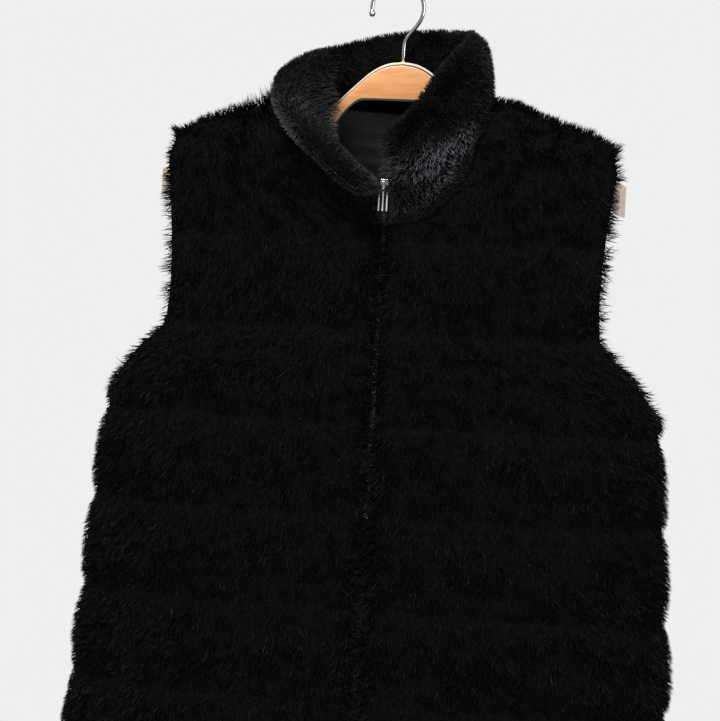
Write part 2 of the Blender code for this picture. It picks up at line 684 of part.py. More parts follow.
def main():
    for obj in list(bpy.data.objects):
        bpy.data.objects.remove(obj)
    fur = material("black faux fur", (0.012, 0.012, 0.014), 0.75)
    satin = material("black satin lining", (0.02, 0.02, 0.022), 0.35)
    tape = material("black zip tape", (0.015, 0.015, 0.016), 0.7)
    nickel = material("nickel zip", (0.62, 0.62, 0.64), 0.25, 1.0)
    birch = material("orange birch ply", (0.62, 0.33, 0.12), 0.4)
    pale_birch = material("pale birch ply", (0.80, 0.58, 0.36), 0.45)
    chrome = material("polished steel", (0.75, 0.75, 0.77), 0.12, 1.0)

    left = front_grid(-1)
    right = front_grid(1)
    back = back_grid()
    for name, (grid, normals, thick) in (("front_left", left), ("front_right", right), ("back", back[:3])):
        wall(name, grid, grid + normals * thick[..., None], fur)
    inner, outer = collar_grids(left, right, back)
    wall("collar", inner, outer, fur)
    lining(back, satin)

    hanger_ply("hanger_back_ply", 0.0, HALF_GAP, PLY, pale_birch)
    hanger_ply("hanger_front_ply", FRONT_PLY_LOWER, -PLY, -HALF_GAP, birch)
    hook(chrome)

    zip_tape("zip_tape_left", -1, tape)
    zip_tape("zip_tape_right", 1, tape)
    face_y, middle = zip_slider(nickel)
    zip_pull(face_y, middle, nickel)


main()
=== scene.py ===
import json
import math

import bpy
import numpy as np
from mathutils import Matrix, Vector

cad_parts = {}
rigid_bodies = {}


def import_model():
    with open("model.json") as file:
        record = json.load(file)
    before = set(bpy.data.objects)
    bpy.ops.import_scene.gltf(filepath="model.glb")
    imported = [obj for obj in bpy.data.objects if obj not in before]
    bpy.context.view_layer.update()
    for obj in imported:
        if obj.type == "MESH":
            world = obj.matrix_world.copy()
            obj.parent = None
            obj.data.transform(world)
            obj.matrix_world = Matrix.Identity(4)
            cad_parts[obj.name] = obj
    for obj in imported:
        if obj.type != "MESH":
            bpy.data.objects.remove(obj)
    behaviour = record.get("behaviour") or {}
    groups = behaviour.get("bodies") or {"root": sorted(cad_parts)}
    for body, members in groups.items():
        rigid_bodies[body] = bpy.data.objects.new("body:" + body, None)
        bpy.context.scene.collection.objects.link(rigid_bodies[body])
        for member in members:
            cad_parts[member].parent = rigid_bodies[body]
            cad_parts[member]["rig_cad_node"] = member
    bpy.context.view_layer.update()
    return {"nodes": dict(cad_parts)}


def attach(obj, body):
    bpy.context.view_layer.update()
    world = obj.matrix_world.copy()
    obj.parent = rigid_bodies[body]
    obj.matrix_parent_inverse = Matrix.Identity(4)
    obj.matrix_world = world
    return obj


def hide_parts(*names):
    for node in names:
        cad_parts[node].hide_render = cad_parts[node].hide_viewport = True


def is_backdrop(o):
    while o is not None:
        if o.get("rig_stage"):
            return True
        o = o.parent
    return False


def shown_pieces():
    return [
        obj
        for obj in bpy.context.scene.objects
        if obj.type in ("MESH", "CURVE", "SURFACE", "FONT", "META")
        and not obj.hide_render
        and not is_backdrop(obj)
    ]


# A black faux fur vest on a two-ply wooden hanger. Metres, +Z up, the front faces -Y.
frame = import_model()
cad = frame["nodes"]
print("frame loaded:", len(cad), "nodes")

# values that a user would change; the lining's, the studio's and the view's stand beside their code
body = {
    "seamGap": 0.0003, "middleY": -0.03, "ovalPower": 2.6, "hem": -0.758,
    # height, half width, depth to the front, depth to the back
    "sections": (
        (-0.1, 0.252, 0.045, 0.042), (-0.407, 0.2535, 0.046, 0.042), (-0.46, 0.2575, 0.048, 0.043),
        (-0.51, 0.2625, 0.05, 0.044), (-0.58, 0.267, 0.053, 0.046), (-0.66, 0.272, 0.056, 0.048),
        (-0.758, 0.278, 0.06, 0.05),
    ),
    "neckHalfWidth": 0.084, "neckPit": -0.238, "neckPower": 2.3, "backNeckDrop": 0.007,
    "shoulderAtNeck": -0.115, "shoulderSlope": 0.38, "shoulderTip": 0.203,
    "roundAtNeck": 0.058, "roundAtTip": 0.04,
    # height, distance of the armhole's edge from the middle
    "armholeEdge": (
        (-0.165, 0.203), (-0.178, 0.2075), (-0.205, 0.205), (-0.25, 0.201), (-0.32, 0.2005),
        (-0.338, 0.2035), (-0.35, 0.214), (-0.364, 0.23), (-0.378, 0.241), (-0.392, 0.249),
        (-0.405, 0.2535),
    ),
    # side (-1 front, 1 back), x, top, bottom, height of the fold, half width
    "folds": (
        (-1, -0.15, -0.36, -0.76, 0.005, 0.03), (-1, -0.07, -0.44, -0.76, 0.0035, 0.026),
        (-1, 0.085, -0.4, -0.76, 0.0045, 0.032), (-1, 0.175, -0.34, -0.74, 0.005, 0.028),
        (1, -0.165, -0.33, -0.76, 0.005, 0.03), (1, -0.04, -0.42, -0.76, 0.0045, 0.034),
        (1, 0.075, -0.38, -0.76, 0.0035, 0.028), (1, 0.16, -0.45, -0.75, 0.005, 0.03),
    ),
    # side, start x, start z, end x, end z, depth of the dent, half width
    "creases": (
        (-1, -0.196, -0.33, -0.12, -0.372, 0.003, 0.01), (-1, 0.197, -0.325, 0.11, -0.36, 0.0034, 0.011),
        (-1, -0.188, -0.262, -0.128, -0.286, 0.002, 0.009), (-1, 0.186, -0.25, 0.142, -0.29, 0.0024, 0.01),
        (-1, -0.118, -0.165, -0.14, -0.238, 0.0022, 0.012), (-1, 0.112, -0.17, 0.15, -0.226, 0.0026, 0.011),
        (-1, -0.022, -0.352, -0.052, -0.47, 0.0024, 0.012), (-1, 0.024, -0.43, 0.046, -0.56, 0.002, 0.01),
        (-1, -0.11, -0.48, -0.098, -0.7, 0.0026, 0.014), (-1, 0.128, -0.52, 0.142, -0.74, 0.003, 0.013),
        (1, -0.19, -0.32, -0.104, -0.366, 0.003, 0.011), (1, 0.192, -0.33, 0.126, -0.352, 0.0026, 0.01),
        (1, -0.09, -0.18, -0.15, -0.236, 0.0024, 0.012), (1, 0.06, -0.196, 0.15, -0.214, 0.0022, 0.013),
        (1, -0.01, -0.43, 0.022, -0.62, 0.0026, 0.013), (1, -0.11, -0.54, -0.126, -0.748, 0.003, 0.014),
        (1, 0.118, -0.48, 0.104, -0.69, 0.0022, 0.012),
    ),
}
pile = {
    "crown": 0.0155, "seam": 0.0095, "edge": 0.0095, "atZip": 0.011, "atHem": 0.0105, "reach": 0.022,
    "firstSeam": -0.251, "band": 0.0842, "seams": 7, "steps": (0.0, 0.12, 0.34, 0.66, 0.88),
    "neckAngles": (0, 3, 8, 15, 24, 34, 45, 57, 72, 90),
    "frontColumns": 12, "backNeckColumns": 10, "backShoulderColumns": 7,
    "zipShows": -0.236,    # below this height the fronts' fur lies over the zip
    "underShare": 0.5,     # the dense undercoat's share of the pile's height
    "clothThick": 0.0012, "width": 0.00085, "clumpRadius": 0.0034, "looseShare": 0.38,
    "leanDeg": 40.0, "leanSpreadDeg": 15.0, "clumpPull": 0.55, "clumpHairs": 14, "rootDepth": 0.0012,
    "bendPlace": 0.52, "bendLift": 0.1, "bendWidth": 0.72, "tuckHeight": 0.0014, "tuckPast": 0.0012,
    # amount, size and seed of the waves in the pile's height, its lie and its tone
    "heightWaves": ((0.09, 0.045, 11), (0.05, 0.017, 12)), "lieWaves": ((0.42, 0.11, 21), (0.22, 0.05, 31)),
    "toneWaves": ((0.2, 0.09, 41), (0.1, 0.03, 42)), "tone": 0.42,
    "edgeReach": 0.007, "edgeDensity": 1.6, "edgeLeanDeg": 58.0, "edgeUnder": 0.22, "shoulderLift": 0.45,
    "frontHairs": 50000, "backHalfHairs": 38000, "collarInsideHairs": 26000, "collarOutsideHairs": 28000,
}
collar = {
    "thick": 0.0195, "innerShare": 0.8, "parting": 0.0052, "partingRise": 0.006, "smoothing": 6, "normalSmoothing": 10,
    "steps": 15, "baseBlend": 0.016, "core": 0.001, "foot": 0.003,
    "heightWaves": ((0.1, 0.035, 61), (0.06, 0.014, 63)), "lieWaves": ((0.55, 0.06, 71), (0.3, 0.026, 72)),
    "toneWaves": ((0.2, 0.05, 81), (0.12, 0.02, 82)), "tone": 0.04, "leanDeg": 42.0,
    "rimShare": 0.12, "rimTurn": 0.75, "endReach": 0.008, "endTurn": 0.7,
    # place round the neck, height, lean of the low, middle and top part, sideways and forward drift
    "sections": (
        (0.0, 0.074, 8, 76, 124, -0.012, 0.0),
        (0.5, 0.084, -30, 62, 120, -0.01, 0.0),
        (1.0, 0.088, -56, 60, 108, -0.002, -0.004),
        (1.5, 0.079, 14, 40, 96, -0.002, 0.0),
        (1.75, 0.091, 19, 8, 14, 0.0, 0.0),
        (2.0, 0.085, 15, 4, 2, 0.0, 0.0),
        (2.5, 0.073, 12, 4, 0, 0.0, 0.0),
        (3.0, 0.07, 8, -4, -34, -0.002, -0.006),
        (3.5, 0.086, 14, -12, -38, -0.024, -0.008),
        (4.0, 0.084, 22, -2, -14, -0.012, 0.0),
    ),
}
# spots of fur with painted light (or, below 0, painted shade) and longer hair: x, y, z, radius, tone of the painted
# light, length
tuftsAndPaintedLight = {
    "collar": (
        (-0.0967, -0.0844, -0.1264, 0.012, 1.4, 0.2), (-0.0958, -0.09, -0.1401, 0.012, 1.6, 0.2),
        (-0.0876, -0.1, -0.1532, 0.012, 1.6, 0.3), (-0.0782, -0.1064, -0.1674, 0.011, 1.3, 0.3),
        (-0.0729, -0.0817, -0.1747, 0.01, 0.9, 0.0), (-0.0594, -0.0802, -0.1869, 0.01, 0.9, 0.0),
        (-0.0439, -0.0792, -0.199, 0.01, 1.1, 0.0), (-0.03, -0.0815, -0.2097, 0.009, 1.0, 0.0),
        (-0.0565, -0.0649, -0.1496, 0.012, 1.8, 1.0), (-0.052, -0.066, -0.158, 0.01, 1.5, 0.8),
        (-0.0674, -0.0572, -0.1134, 0.014, 0.1, 2.2), (-0.064, -0.059, -0.128, 0.013, 0.6, 2.4),
        (-0.061, -0.061, -0.139, 0.01, 0.9, 1.6), (-0.0292, 0.008, -0.117, 0.014, 0.0, 0.9),
        (-0.048, 0.006, -0.117, 0.014, 0.0, 0.9), (-0.01, 0.008, -0.119, 0.014, 0.0, 0.9),
        (-0.0799, -0.0962, -0.1387, 0.01, 1.2, 0.2), (-0.0862, -0.1072, -0.1542, 0.01, 1.0, 0.2),
        (0.0098, -0.0947, -0.185, 0.008, 1.2, 0.1), (0.0216, -0.0934, -0.187, 0.01, 2.0, 0.2),
        (0.0321, -0.0928, -0.1811, 0.009, 1.6, 0.2), (0.0407, -0.0921, -0.1744, 0.01, 2.2, 0.2),
        (0.0495, -0.091, -0.1711, 0.01, 2.4, 0.2), (0.0582, -0.0892, -0.1688, 0.01, 2.4, 0.2),
        (0.0683, -0.0866, -0.159, 0.009, 2.4, 0.2), (0.0748, -0.0843, -0.1493, 0.009, 1.8, 0.1),
        (0.0415, -0.0896, -0.1921, 0.012, 1.9, 0.1), (0.0545, -0.0868, -0.1867, 0.012, 2.0, 0.1),
        (0.0738, -0.0817, -0.1671, 0.009, 1.6, 0.0), (0.0357, -0.0856, -0.21, 0.008, 1.2, 0.0),
        (0.0198, -0.0849, -0.2197, 0.007, 1.0, 0.0), (0.0635, -0.0826, -0.1132, 0.022, -0.5, 0.0),
        (0.082, -0.0738, -0.1293, 0.016, -0.4, 0.0), (0.0343, 0.0103, -0.0695, 0.03, -0.4, 0.0),
        (0.056, -0.0875, -0.1324, 0.018, -0.5, 0.0), (0.02, -0.09, -0.155, 0.016, -0.35, 0.0),
        (-0.06, 0.0, -0.08, 0.03, -0.3, 0.0),
    ),
    "panels": (
        (0.1012, -0.066, -0.1467, 0.008, 4.5, 0.5), (0.1095, -0.071, -0.1607, 0.008, 4.5, 0.4),
        (0.0746, -0.072, -0.1848, 0.009, 3.5, 0.0), (0.0685, -0.074, -0.2017, 0.009, 3.0, 0.0),
        (0.045, -0.078, -0.225, 0.02, -0.4, 0.0), (-0.112, -0.018, -0.126, 0.02, 0.0, 0.8),
        (-0.135, -0.022, -0.134, 0.02, 0.0, 0.7), (-0.205, -0.04, -0.195, 0.022, 0.0, -0.55),
        (0.205, -0.04, -0.2, 0.022, 0.0, -0.45), (-0.003, -0.076, -0.333, 0.006, 2.5, 0.0),
        (0.003, -0.076, -0.413, 0.006, 4.0, 0.0), (-0.003, -0.08, -0.497, 0.006, 4.0, 0.0),
        (0.003, -0.084, -0.586, 0.006, 4.0, 0.0), (-0.003, -0.085, -0.61, 0.006, 4.0, 0.0),
        (-0.003, -0.086, -0.645, 0.006, 4.0, 0.0), (-0.003, -0.087, -0.68, 0.006, 3.0, 0.0),
    ),
}
hanger = {
    "top": -0.075, "halfWidth": 0.215, "forward": 0.05, "ply": 0.0065, "frontLower": 0.0042,
    "bevel": 0.0012, "glueBevel": 0.0004, "stations": 161, "bareFrom": 0.2035, "shadowFrom": 0.0042, "shadowTo": 0.002,
    # distance from the middle, drop of the top edge, drop of the bottom edge
    "edges": (
        (0.0, 0.0, 0.037), (0.015, 0.0025, 0.037), (0.03, 0.0108, 0.0372), (0.04, 0.02, 0.0385),
        (0.05, 0.03, 0.0465), (0.062, 0.042, 0.062), (0.095, 0.0572, 0.083), (0.13, 0.0715, 0.0995),
        (0.17, 0.089, 0.118), (0.2, 0.106, 0.135), (0.215, 0.116, 0.144),
    ),
    "wire": 0.0019, "ring": 0.025, "shift": -0.008, "fromDeg": -30.0, "toDeg": 187.0,
    "neckTop": -0.062, "ball": 0.0031,
}
zipper = {
    "halfGap": 0.0032, "chainHalf": 0.0026, "tapeWidth": 0.014, "tapeThick": 0.0008, "tapeClear": 0.0009,
    "sliderBottom": -0.2085, "pitch": 0.0025, "toothLength": 0.0032, "toothHeight": 0.0012,
    "toothDepth": 0.0022, "lean": 22.0, "tapeEdge": 0.0004,
}


def cubic(first, last, firstSlope, lastSlope, t):
    value = first * (2 * t**3 - 3 * t**2 + 1) + firstSlope * (t**3 - 2 * t**2 + t)
    return value + last * (3 * t**2 - 2 * t**3) + lastSlope * (t**3 - t**2)


def readTable(rows, column, at):
    # a cubic through the rows: each stretch starts and ends with the slope between its neighbours
    places = np.array([row[0] for row in rows], float)
    values = np.array([row[column] for row in rows], float)
    if places[0] > places[-1]:
        places, values = places[::-1], values[::-1]
    slopes = np.gradient(values, places)
    at = np.clip(np.asarray(at, float), places[0], places[-1])
    i = np.clip(np.searchsorted(places, at, side="right") - 1, 0, len(places) - 2)
    step = places[i + 1] - places[i]
    return cubic(values[i], values[i + 1], slopes[i] * step, slopes[i + 1] * step, (at - places[i]) / step)


def ease(value):
    t = np.clip(value, 0, 1)
    return t * t * (3 - 2 * t)


def norm(vectors):
    return np.linalg.norm(vectors, axis=-1)


def unit(vectors):
    return vectors / np.maximum(np.linalg.norm(vectors, axis=-1, keepdims=True), 1e-12)


def along(grid, axis):
    return unit(np.gradient(grid, axis=axis))


def refine(values, times):
    # the same cubic along the first axis, read at `times` points for each step
    slopes = np.gradient(values, axis=0)
    at = np.linspace(0, len(values) - 1, (len(values) - 1) * times + 1)
    i = np.minimum(at.astype(int), len(values) - 2)
    t = (at - i).reshape((-1,) + (1,) * (values.ndim - 1))
    return cubic(values[i], values[i + 1], slopes[i], slopes[i + 1], t)


def refineGrid(values, down, across):
    return refine(refine(values, down).swapaxes(0, 1), across).swapaxes(0, 1)


def ripple(points, size, seed):
    # smooth noise from -1 to 1: five sine waves in fixed directions, `size` metres from crest to crest
    draw = np.random.default_rng(seed)
    total = np.zeros(points.shape[:-1])
    for _ in range(5):
        wave = unit(draw.normal(size=3)) * 2 * math.pi / (size * draw.uniform(0.7, 1.5))
        total = total + np.sin(points @ wave + draw.uniform(0, 6.28))
    return total / 3


def ripples(points, level, waves, shift=0):
    # level + the sum of amount * ripple(size, seed)
    for amount, size, seed in waves:
        level = level + amount * ripple(points, size, seed + shift)
    return level


# from here to creaseDent: the body's and collar's forms, as the solids have them
def armY(x):
    return -hanger["ply"] / 2 - hanger["forward"] * (np.abs(x) / hanger["halfWidth"]) ** 2


def shoulderZ(x):
    return body["shoulderAtNeck"] - body["shoulderSlope"] * (np.abs(x) - body["neckHalfWidth"])


def foldRise(side, x, z):
    rise = np.zeros(np.broadcast(x, z).shape)
    for which, middle, top, bottom, height, half in body["folds"]:
        if which == side:
            along = ease((top - z) / 0.12) * ease((z - bottom) / 0.05 + 1)
            rise = rise + height * along * np.exp(-(((x - middle) / half) ** 2))
    return rise


def bodyY(side, x, z):
    # an oval round the hanger, |x/w|^p + |y/d|^p = 1, that rounds over into the shoulder line
    halfWidth = readTable(body["sections"], 1, z)
    depth = readTable(body["sections"], 2 if side < 0 else 3, z)
    power = body["ovalPower"]
    across = np.clip(1 - (np.abs(x) / halfWidth) ** power, 0, 1) ** (1 / power)
    plain = body["middleY"] + side * depth * across + side * foldRise(side, x, z) * np.minimum(across * 1.5, 1)
    neck, tip = body["neckHalfWidth"], body["shoulderTip"]
    toTip = np.clip((np.abs(x) - neck) / (tip - neck), 0, 1)
    rounding = body["roundAtNeck"] + (body["roundAtTip"] - body["roundAtNeck"]) * toTip
    down = np.clip((shoulderZ(x) - z) / rounding, 0, 1)
    out = np.sqrt(np.clip(1 - (1 - down) ** 2, 0, 1))
    ridge = armY(np.minimum(np.abs(x), tip))
    over = np.abs(x) < hanger["halfWidth"]
    return np.where(over, ridge + (plain - ridge) * out, plain) + side * body["seamGap"] / 2


def rowHeights():
    tops = pile["firstSeam"] - np.arange(pile["seams"])[:, None] * pile["band"]
    heights = (tops - np.array(pile["steps"]) * pile["band"]).ravel()
    return np.append(heights[heights > body["hem"] + 0.006], body["hem"])


def bandPile(z):
    # full in a band's middle, low at its seams: crown - (crown - seam) * (1 - distance)^3
    place = (pile["firstSeam"] - z) / pile["band"]
    away = np.abs(place - np.round(place)) * 2
    inBands = ease((pile["firstSeam"] + pile["band"] / 3 - z) / (pile["band"] / 3))
    return pile["crown"] - (pile["crown"] - pile["seam"]) * (1 - away) ** 3 * inBands


def outwardNormals(grid, outward):
    normals = unit(np.cross(np.gradient(grid, axis=0), np.gradient(grid, axis=1)))
    turn = np.sign((normals * outward).sum(axis=-1, keepdims=True))
    return normals * np.where(turn == 0, 1, turn)


def armholeX(z, halfWidth):
    below = z < body["armholeEdge"][-1][0]
    return below, np.where(below, halfWidth, np.minimum(readTable(body["armholeEdge"], 1, z), halfWidth))


def pileHeights(x, z, below, sideX, fromNeck):
    # full in the bands and low towards the armholes, the neck and the hem
    edge = pile["edge"]
    fromArmhole = np.where(below, 1.0, 0.0)[:, None] + (sideX[:, None] - np.abs(x)) / pile["reach"]
    thick = edge + (bandPile(z) - edge) * ease(fromArmhole)
    thick = np.minimum(thick, edge + (pile["crown"] - edge) * ease(fromNeck))
    thick[-1] = np.minimum(thick[-1], pile["atHem"])
    return thick


def frontGrid(hand):
    # rows follow the neck curve down to its pit and then run level; columns run from the zip outward
    angles = np.radians(np.array(pile["neckAngles"], float))
    power = 2 / body["neckPower"]
    neckX = np.maximum(body["neckHalfWidth"] * np.cos(angles) ** power, zipper["halfGap"])
    share = np.sin(angles) ** power
    neckZ = body["shoulderAtNeck"] + share * (body["neckPit"] - body["shoulderAtNeck"])
    tipZ = shoulderZ(body["shoulderTip"])
    lower = rowHeights()
    innerX = np.concatenate([neckX, np.full(len(lower), zipper["halfGap"])])
    innerZ = np.concatenate([neckZ, lower])
    outerZ = np.concatenate([tipZ + share * (body["neckPit"] - tipZ), lower])
    halfWidth = readTable(body["sections"], 1, outerZ)
    below, outerX = armholeX(outerZ, halfWidth)
    u = np.linspace(0, 1, pile["frontColumns"])
    bunched = ease((outerX / halfWidth - 0.78) / 0.22)[:, None]
    spread = u + (np.sin(u * math.pi / 2) - u) * bunched
    x = innerX[:, None] + (outerX - innerX)[:, None] * spread
    z = innerZ[:, None] + (outerZ - innerZ)[:, None] * u
    z[0] = shoulderZ(x[0])
    grid = np.stack([x, bodyY(-1, x, z), z], axis=-1)
    normals = outwardNormals(grid, np.array([0.3, -1.0, 0.3]))
    normals[0, :, 1] = 0
    normals[below, -1] = (1, 0, 0)
    normals[len(angles):, 0, 0] = 0
    rows = len(angles)
    fromNeck = np.full(x.shape, 1.0)
    fromNeck[:rows] = (x[:rows] - neckX[:, None]) / pile["reach"]
    thick = pileHeights(x, z, below, outerX, fromNeck)
    byZip = pile["atZip"] + (pile["crown"] - pile["atZip"]) * ease((x - zipper["halfGap"]) / pile["reach"])
    thick[rows - 1:] = np.minimum(thick, byZip)[rows - 1:]
    mirror = np.array([hand, 1, 1])
    return grid * mirror, unit(normals) * mirror, thick


def backGrid():
    lower = rowHeights()
    angles = np.radians(np.array(pile["neckAngles"], float))
    rounding = np.sin(angles) ** (2 / body["neckPower"])
    tipZ, pit, neckHalf = shoulderZ(body["shoulderTip"]), body["neckPit"], body["neckHalfWidth"]
    sideZ = np.concatenate([tipZ + rounding * (pit - tipZ), lower])
    halfWidth = readTable(body["sections"], 1, sideZ)
    below, sideX = armholeX(sideZ, halfWidth)
    neck = np.linspace(-1, 1, pile["backNeckColumns"] + 1)
    shoulder = np.linspace(0, 1, pile["backShoulderColumns"] + 1)[1:]
    bunched = ease((sideX / halfWidth - 0.78) / 0.22)[:, None]
    spread = shoulder + (np.sin(shoulder * math.pi / 2) ** 0.8 - shoulder) * bunched
    right = neckHalf + (sideX - neckHalf)[:, None] * spread
    middle = np.repeat((neckHalf * np.sin(neck * math.pi / 2))[None], len(sideX), axis=0)
    x = np.concatenate([-right[:, ::-1], middle, right], axis=1)
    inNeck = np.abs(x[0]) < neckHalf - 1e-6
    dip = body["backNeckDrop"] * (1 - (x[0] / neckHalf) ** 2)
    top = np.where(inNeck, body["shoulderAtNeck"] - dip, shoulderZ(x[0]))
    z = np.repeat(sideZ[:, None], x.shape[1], axis=1)
    z[:len(angles)] = top[None] + rounding[:, None] * (pit - top[None])
    grid = np.stack([x, bodyY(1, x, z), z], axis=-1)
    normals = outwardNormals(grid, np.array([0.0, 1.0, 0.3]))
    normals[0, ~inNeck, 1] = 0
    normals[below, 0] = (-1, 0, 0)
    normals[below, -1] = (1, 0, 0)
    fromNeck = np.where(inNeck[None], 0, (np.abs(x) - neckHalf) / pile["reach"]) + (top[None] - z) / pile["reach"]
    return grid, unit(normals), pileHeights(x, z, below, sideX, fromNeck), inNeck


def evened(rows, passes):
    rows = rows.copy()
    for _ in range(passes):
        rows[1:-1] = rows[1:-1] / 2 + (rows[:-2] + rows[2:]) / 4
    return rows


def collarGrids(left, right, back):
    # each column climbs from the neck seam in short steps whose lean from upright the table gives
    rows = len(pile["neckAngles"])
    middle = np.flatnonzero(back[3])
    seam, normal, seamThick = (
        np.concatenate([left[k][:rows, 0][::-1], back[k][0, middle], right[k][:rows, 0]]) for k in range(3)
    )
    place = np.concatenate(
        [np.linspace(0, 1, rows), np.linspace(1, 3, len(middle) + 2)[1:-1], np.linspace(3, 4, rows)]
    )
    onward = along(seam, 0)
    toNeck = unit(np.cross(normal, onward))
    toNeck *= np.sign(toNeck[:, 2:3] + 0.2)
    start = seam + normal * seamThick[:, None] / 2 + toNeck * body["seamGap"]
    outward = np.cross(unit(onward * np.array([1, 1, 0])), np.array([0, 0, 1.0]))
    centre = np.array([0, body["middleY"], 0])
    outward *= np.sign(((seam - centre) * outward).sum(axis=1, keepdims=True))
    outward[[0, -1]] = (0, -1, 0)
    outward = unit(evened(outward, collar["smoothing"]))
    toNeck[[0, -1], 0] = 0
    toNeck = unit(toNeck)
    height, low, mid, top, driftX, driftY = (readTable(collar["sections"], k, place) for k in range(1, 7))
    steps = np.linspace(0, 1, collar["steps"])
    line = [start]
    for here, after in zip(steps, steps[1:]):
        centreStep = (here + after) / 2
        lean = low + (mid - low) * ease((centreStep - 0.22) / 0.36) + (top - mid) * ease((centreStep - 0.52) / 0.4)
        lean = np.radians(lean)[:, None]
        free = np.cos(lean) * np.array([0, 0, 1.0]) + np.sin(lean) * outward
        grown = ease(centreStep * height / collar["baseBlend"])[:, None]
        direction = unit(toNeck * (1 - grown) + free * grown)
        line.append(line[-1] + direction * ((after - here) * height)[:, None])
    line = np.array(line)
    for k in range(1, collar["steps"]):
        line[k] = evened(line[k], round(collar["smoothing"] * float(ease(2 * steps[k]))))
    line[:, :, 0] += (steps**4)[:, None] * driftX
    line[:, :, 1] += (steps**4)[:, None] * driftY
    parting = collar["parting"] * ease(steps * height[0] / collar["partingRise"])
    beside = np.stack([ease(1 - place * 4), ease(1 - (place[-1] - place) * 4)])
    line[:, :, 0] += parting[:, None] * (beside[1] - beside[0])
    normals = unit(np.cross(np.gradient(line, axis=0), np.gradient(line, axis=1)))
    normals *= np.sign((normals[0] * normal).sum(axis=1))[None, :, None]
    swell = ease((steps - 0.06) / 0.44)[:, None]
    half = seamThick / 2 + (collar["thick"] / 2 - seamThick / 2) * swell
    toRim = (1 - steps)[:, None] * height / (collar["thick"] * 0.6)
    half = half * np.sqrt(np.clip(1 - (1 - np.clip(toRim, 0, 1)) ** 2, 0.02, 1))
    for k in range(1, collar["steps"]):
        passes = round(collar["normalSmoothing"] * float(ease(2 * steps[k])))
        normals[k] = unit(evened(normals[k], passes))
    normals[0] = normal
    innerShare = 1 - (1 - collar["innerShare"]) * swell
    return line, normals, half * innerShare, half * (2 - innerShare)


def atSpots(spots, column, points):
    # sum over the spots: value * exp(-(distance / radius)^2)
    total = np.zeros(points.shape[:-1])
    for spot in spots:
        away = norm(points - np.array(spot[:3]))
        total = total + spot[column] * np.exp(-((away / spot[3]) ** 2))
    return total


def creaseDent(side, points):
    # a dent along each listed line: depth * exp(-(distance / half width)^2), fading at both ends
    dent = np.zeros(points.shape[:-1])
    flat = points[..., [0, 2]]
    for which, x0, z0, x1, z1, depth, half in body["creases"]:
        if which == side:
            start, run = np.array([x0, z0]), np.array([x1 - x0, z1 - z0])
            t = np.clip(((flat - start) @ run) / (run @ run), 0, 1)
            away = norm(flat - start - t[..., None] * run)
            dent = dent + depth * (1 - 0.55 * t) * np.exp(-((away / half) ** 2))
    return dent


def newMesh(name, points, quads, triangles=()):
    points = np.asarray(points, np.float32).reshape(-1, 3)
    mesh = bpy.data.meshes.new(name)
    mesh.vertices.add(len(points))
    mesh.vertices.foreach_set("co", points.ravel())
    corners = np.concatenate([np.ravel(quads), np.ravel(triangles)]).astype(np.int32)
    sizes = np.concatenate([np.full(len(quads), 4), np.full(len(triangles), 3)])
    mesh.loops.add(len(corners))
    mesh.loops.foreach_set("vertex_index", corners)
    mesh.polygons.add(len(sizes))
    mesh.polygons.foreach_set("loop_start", (np.cumsum(sizes) - sizes).astype(np.int32))
    mesh.update(calc_edges=True)
    mesh.shade_smooth()
    piece = bpy.data.objects.new(name, mesh)
    bpy.context.scene.collection.objects.link(piece)
    return piece


def giveUv(piece, uv):
    # one pair of metres for each vertex, read at the corners
    corner = np.empty(len(piece.data.loops), np.int32)
    piece.data.loops.foreach_get("vertex_index", corner)
    layer = piece.data.uv_layers.new(name="flat")
    layer.data.foreach_set("uv", np.asarray(uv, np.float32)[corner].ravel())


def gridQuads(rows, columns, roundRows=False):
    index = np.arange(rows * columns).reshape(rows, columns)
    if roundRows:
        index = np.concatenate([index, index[:1]])
    return np.stack([index[:-1, :-1], index[:-1, 1:], index[1:, 1:], index[1:, :-1]], axis=-1).reshape(-1, 4)


def faceOut(points, quads, outward):
    # turns the quads over where their mean normal opposes the direction given for each point
    flat, way = points.reshape(-1, 3), outward.reshape(-1, 3)
    normal = np.cross(flat[quads[:, 2]] - flat[quads[:, 0]], flat[quads[:, 3]] - flat[quads[:, 1]])
    return quads[:, ::-1] if (normal * way[quads[:, 0]]).sum() < 0 else quads


def closedWall(name, inside, outside):
    rows, columns = inside.shape[:2]
    quads = gridQuads(rows, columns)
    outer = faceOut(outside, quads, outside - inside)
    inner = outer[:, ::-1]
    index = np.arange(rows * columns).reshape(rows, columns)
    border = np.concatenate([index[0], index[1:, -1], index[-1, -2::-1], index[-2:0:-1, 0]])
    after = np.roll(border, -1)
    back = rows * columns
    rim = np.stack([after, border, border + back, after + back], axis=-1)
    if not np.array_equal(outer, quads):
        rim = rim[:, ::-1]
    points = np.concatenate([inside.reshape(-1, 3), outside.reshape(-1, 3)])
    return newMesh(name, points, np.concatenate([inner, outer + back, rim[:, ::-1]]))


def clothUv(grid):
    across = np.cumsum(norm(np.diff(grid, axis=1, prepend=grid[:, :1])), axis=1)
    down = np.cumsum(norm(np.diff(grid, axis=0, prepend=grid[:1])), axis=0)
    return np.stack([across, down], axis=-1).reshape(-1, 2)


def cutSize(grid):
    # widest row, longest column and the sum of the cells' areas
    width = norm(np.diff(grid, axis=1)).sum(axis=1).max()
    length = norm(np.diff(grid, axis=0)).sum(axis=0).max()
    a = grid[1:, 1:] - grid[:-1, :-1]
    b = grid[1:, :-1] - grid[:-1, 1:]
    area = norm(np.cross(a, b)).sum() / 2
    return (float(width), float(length)), float(area)


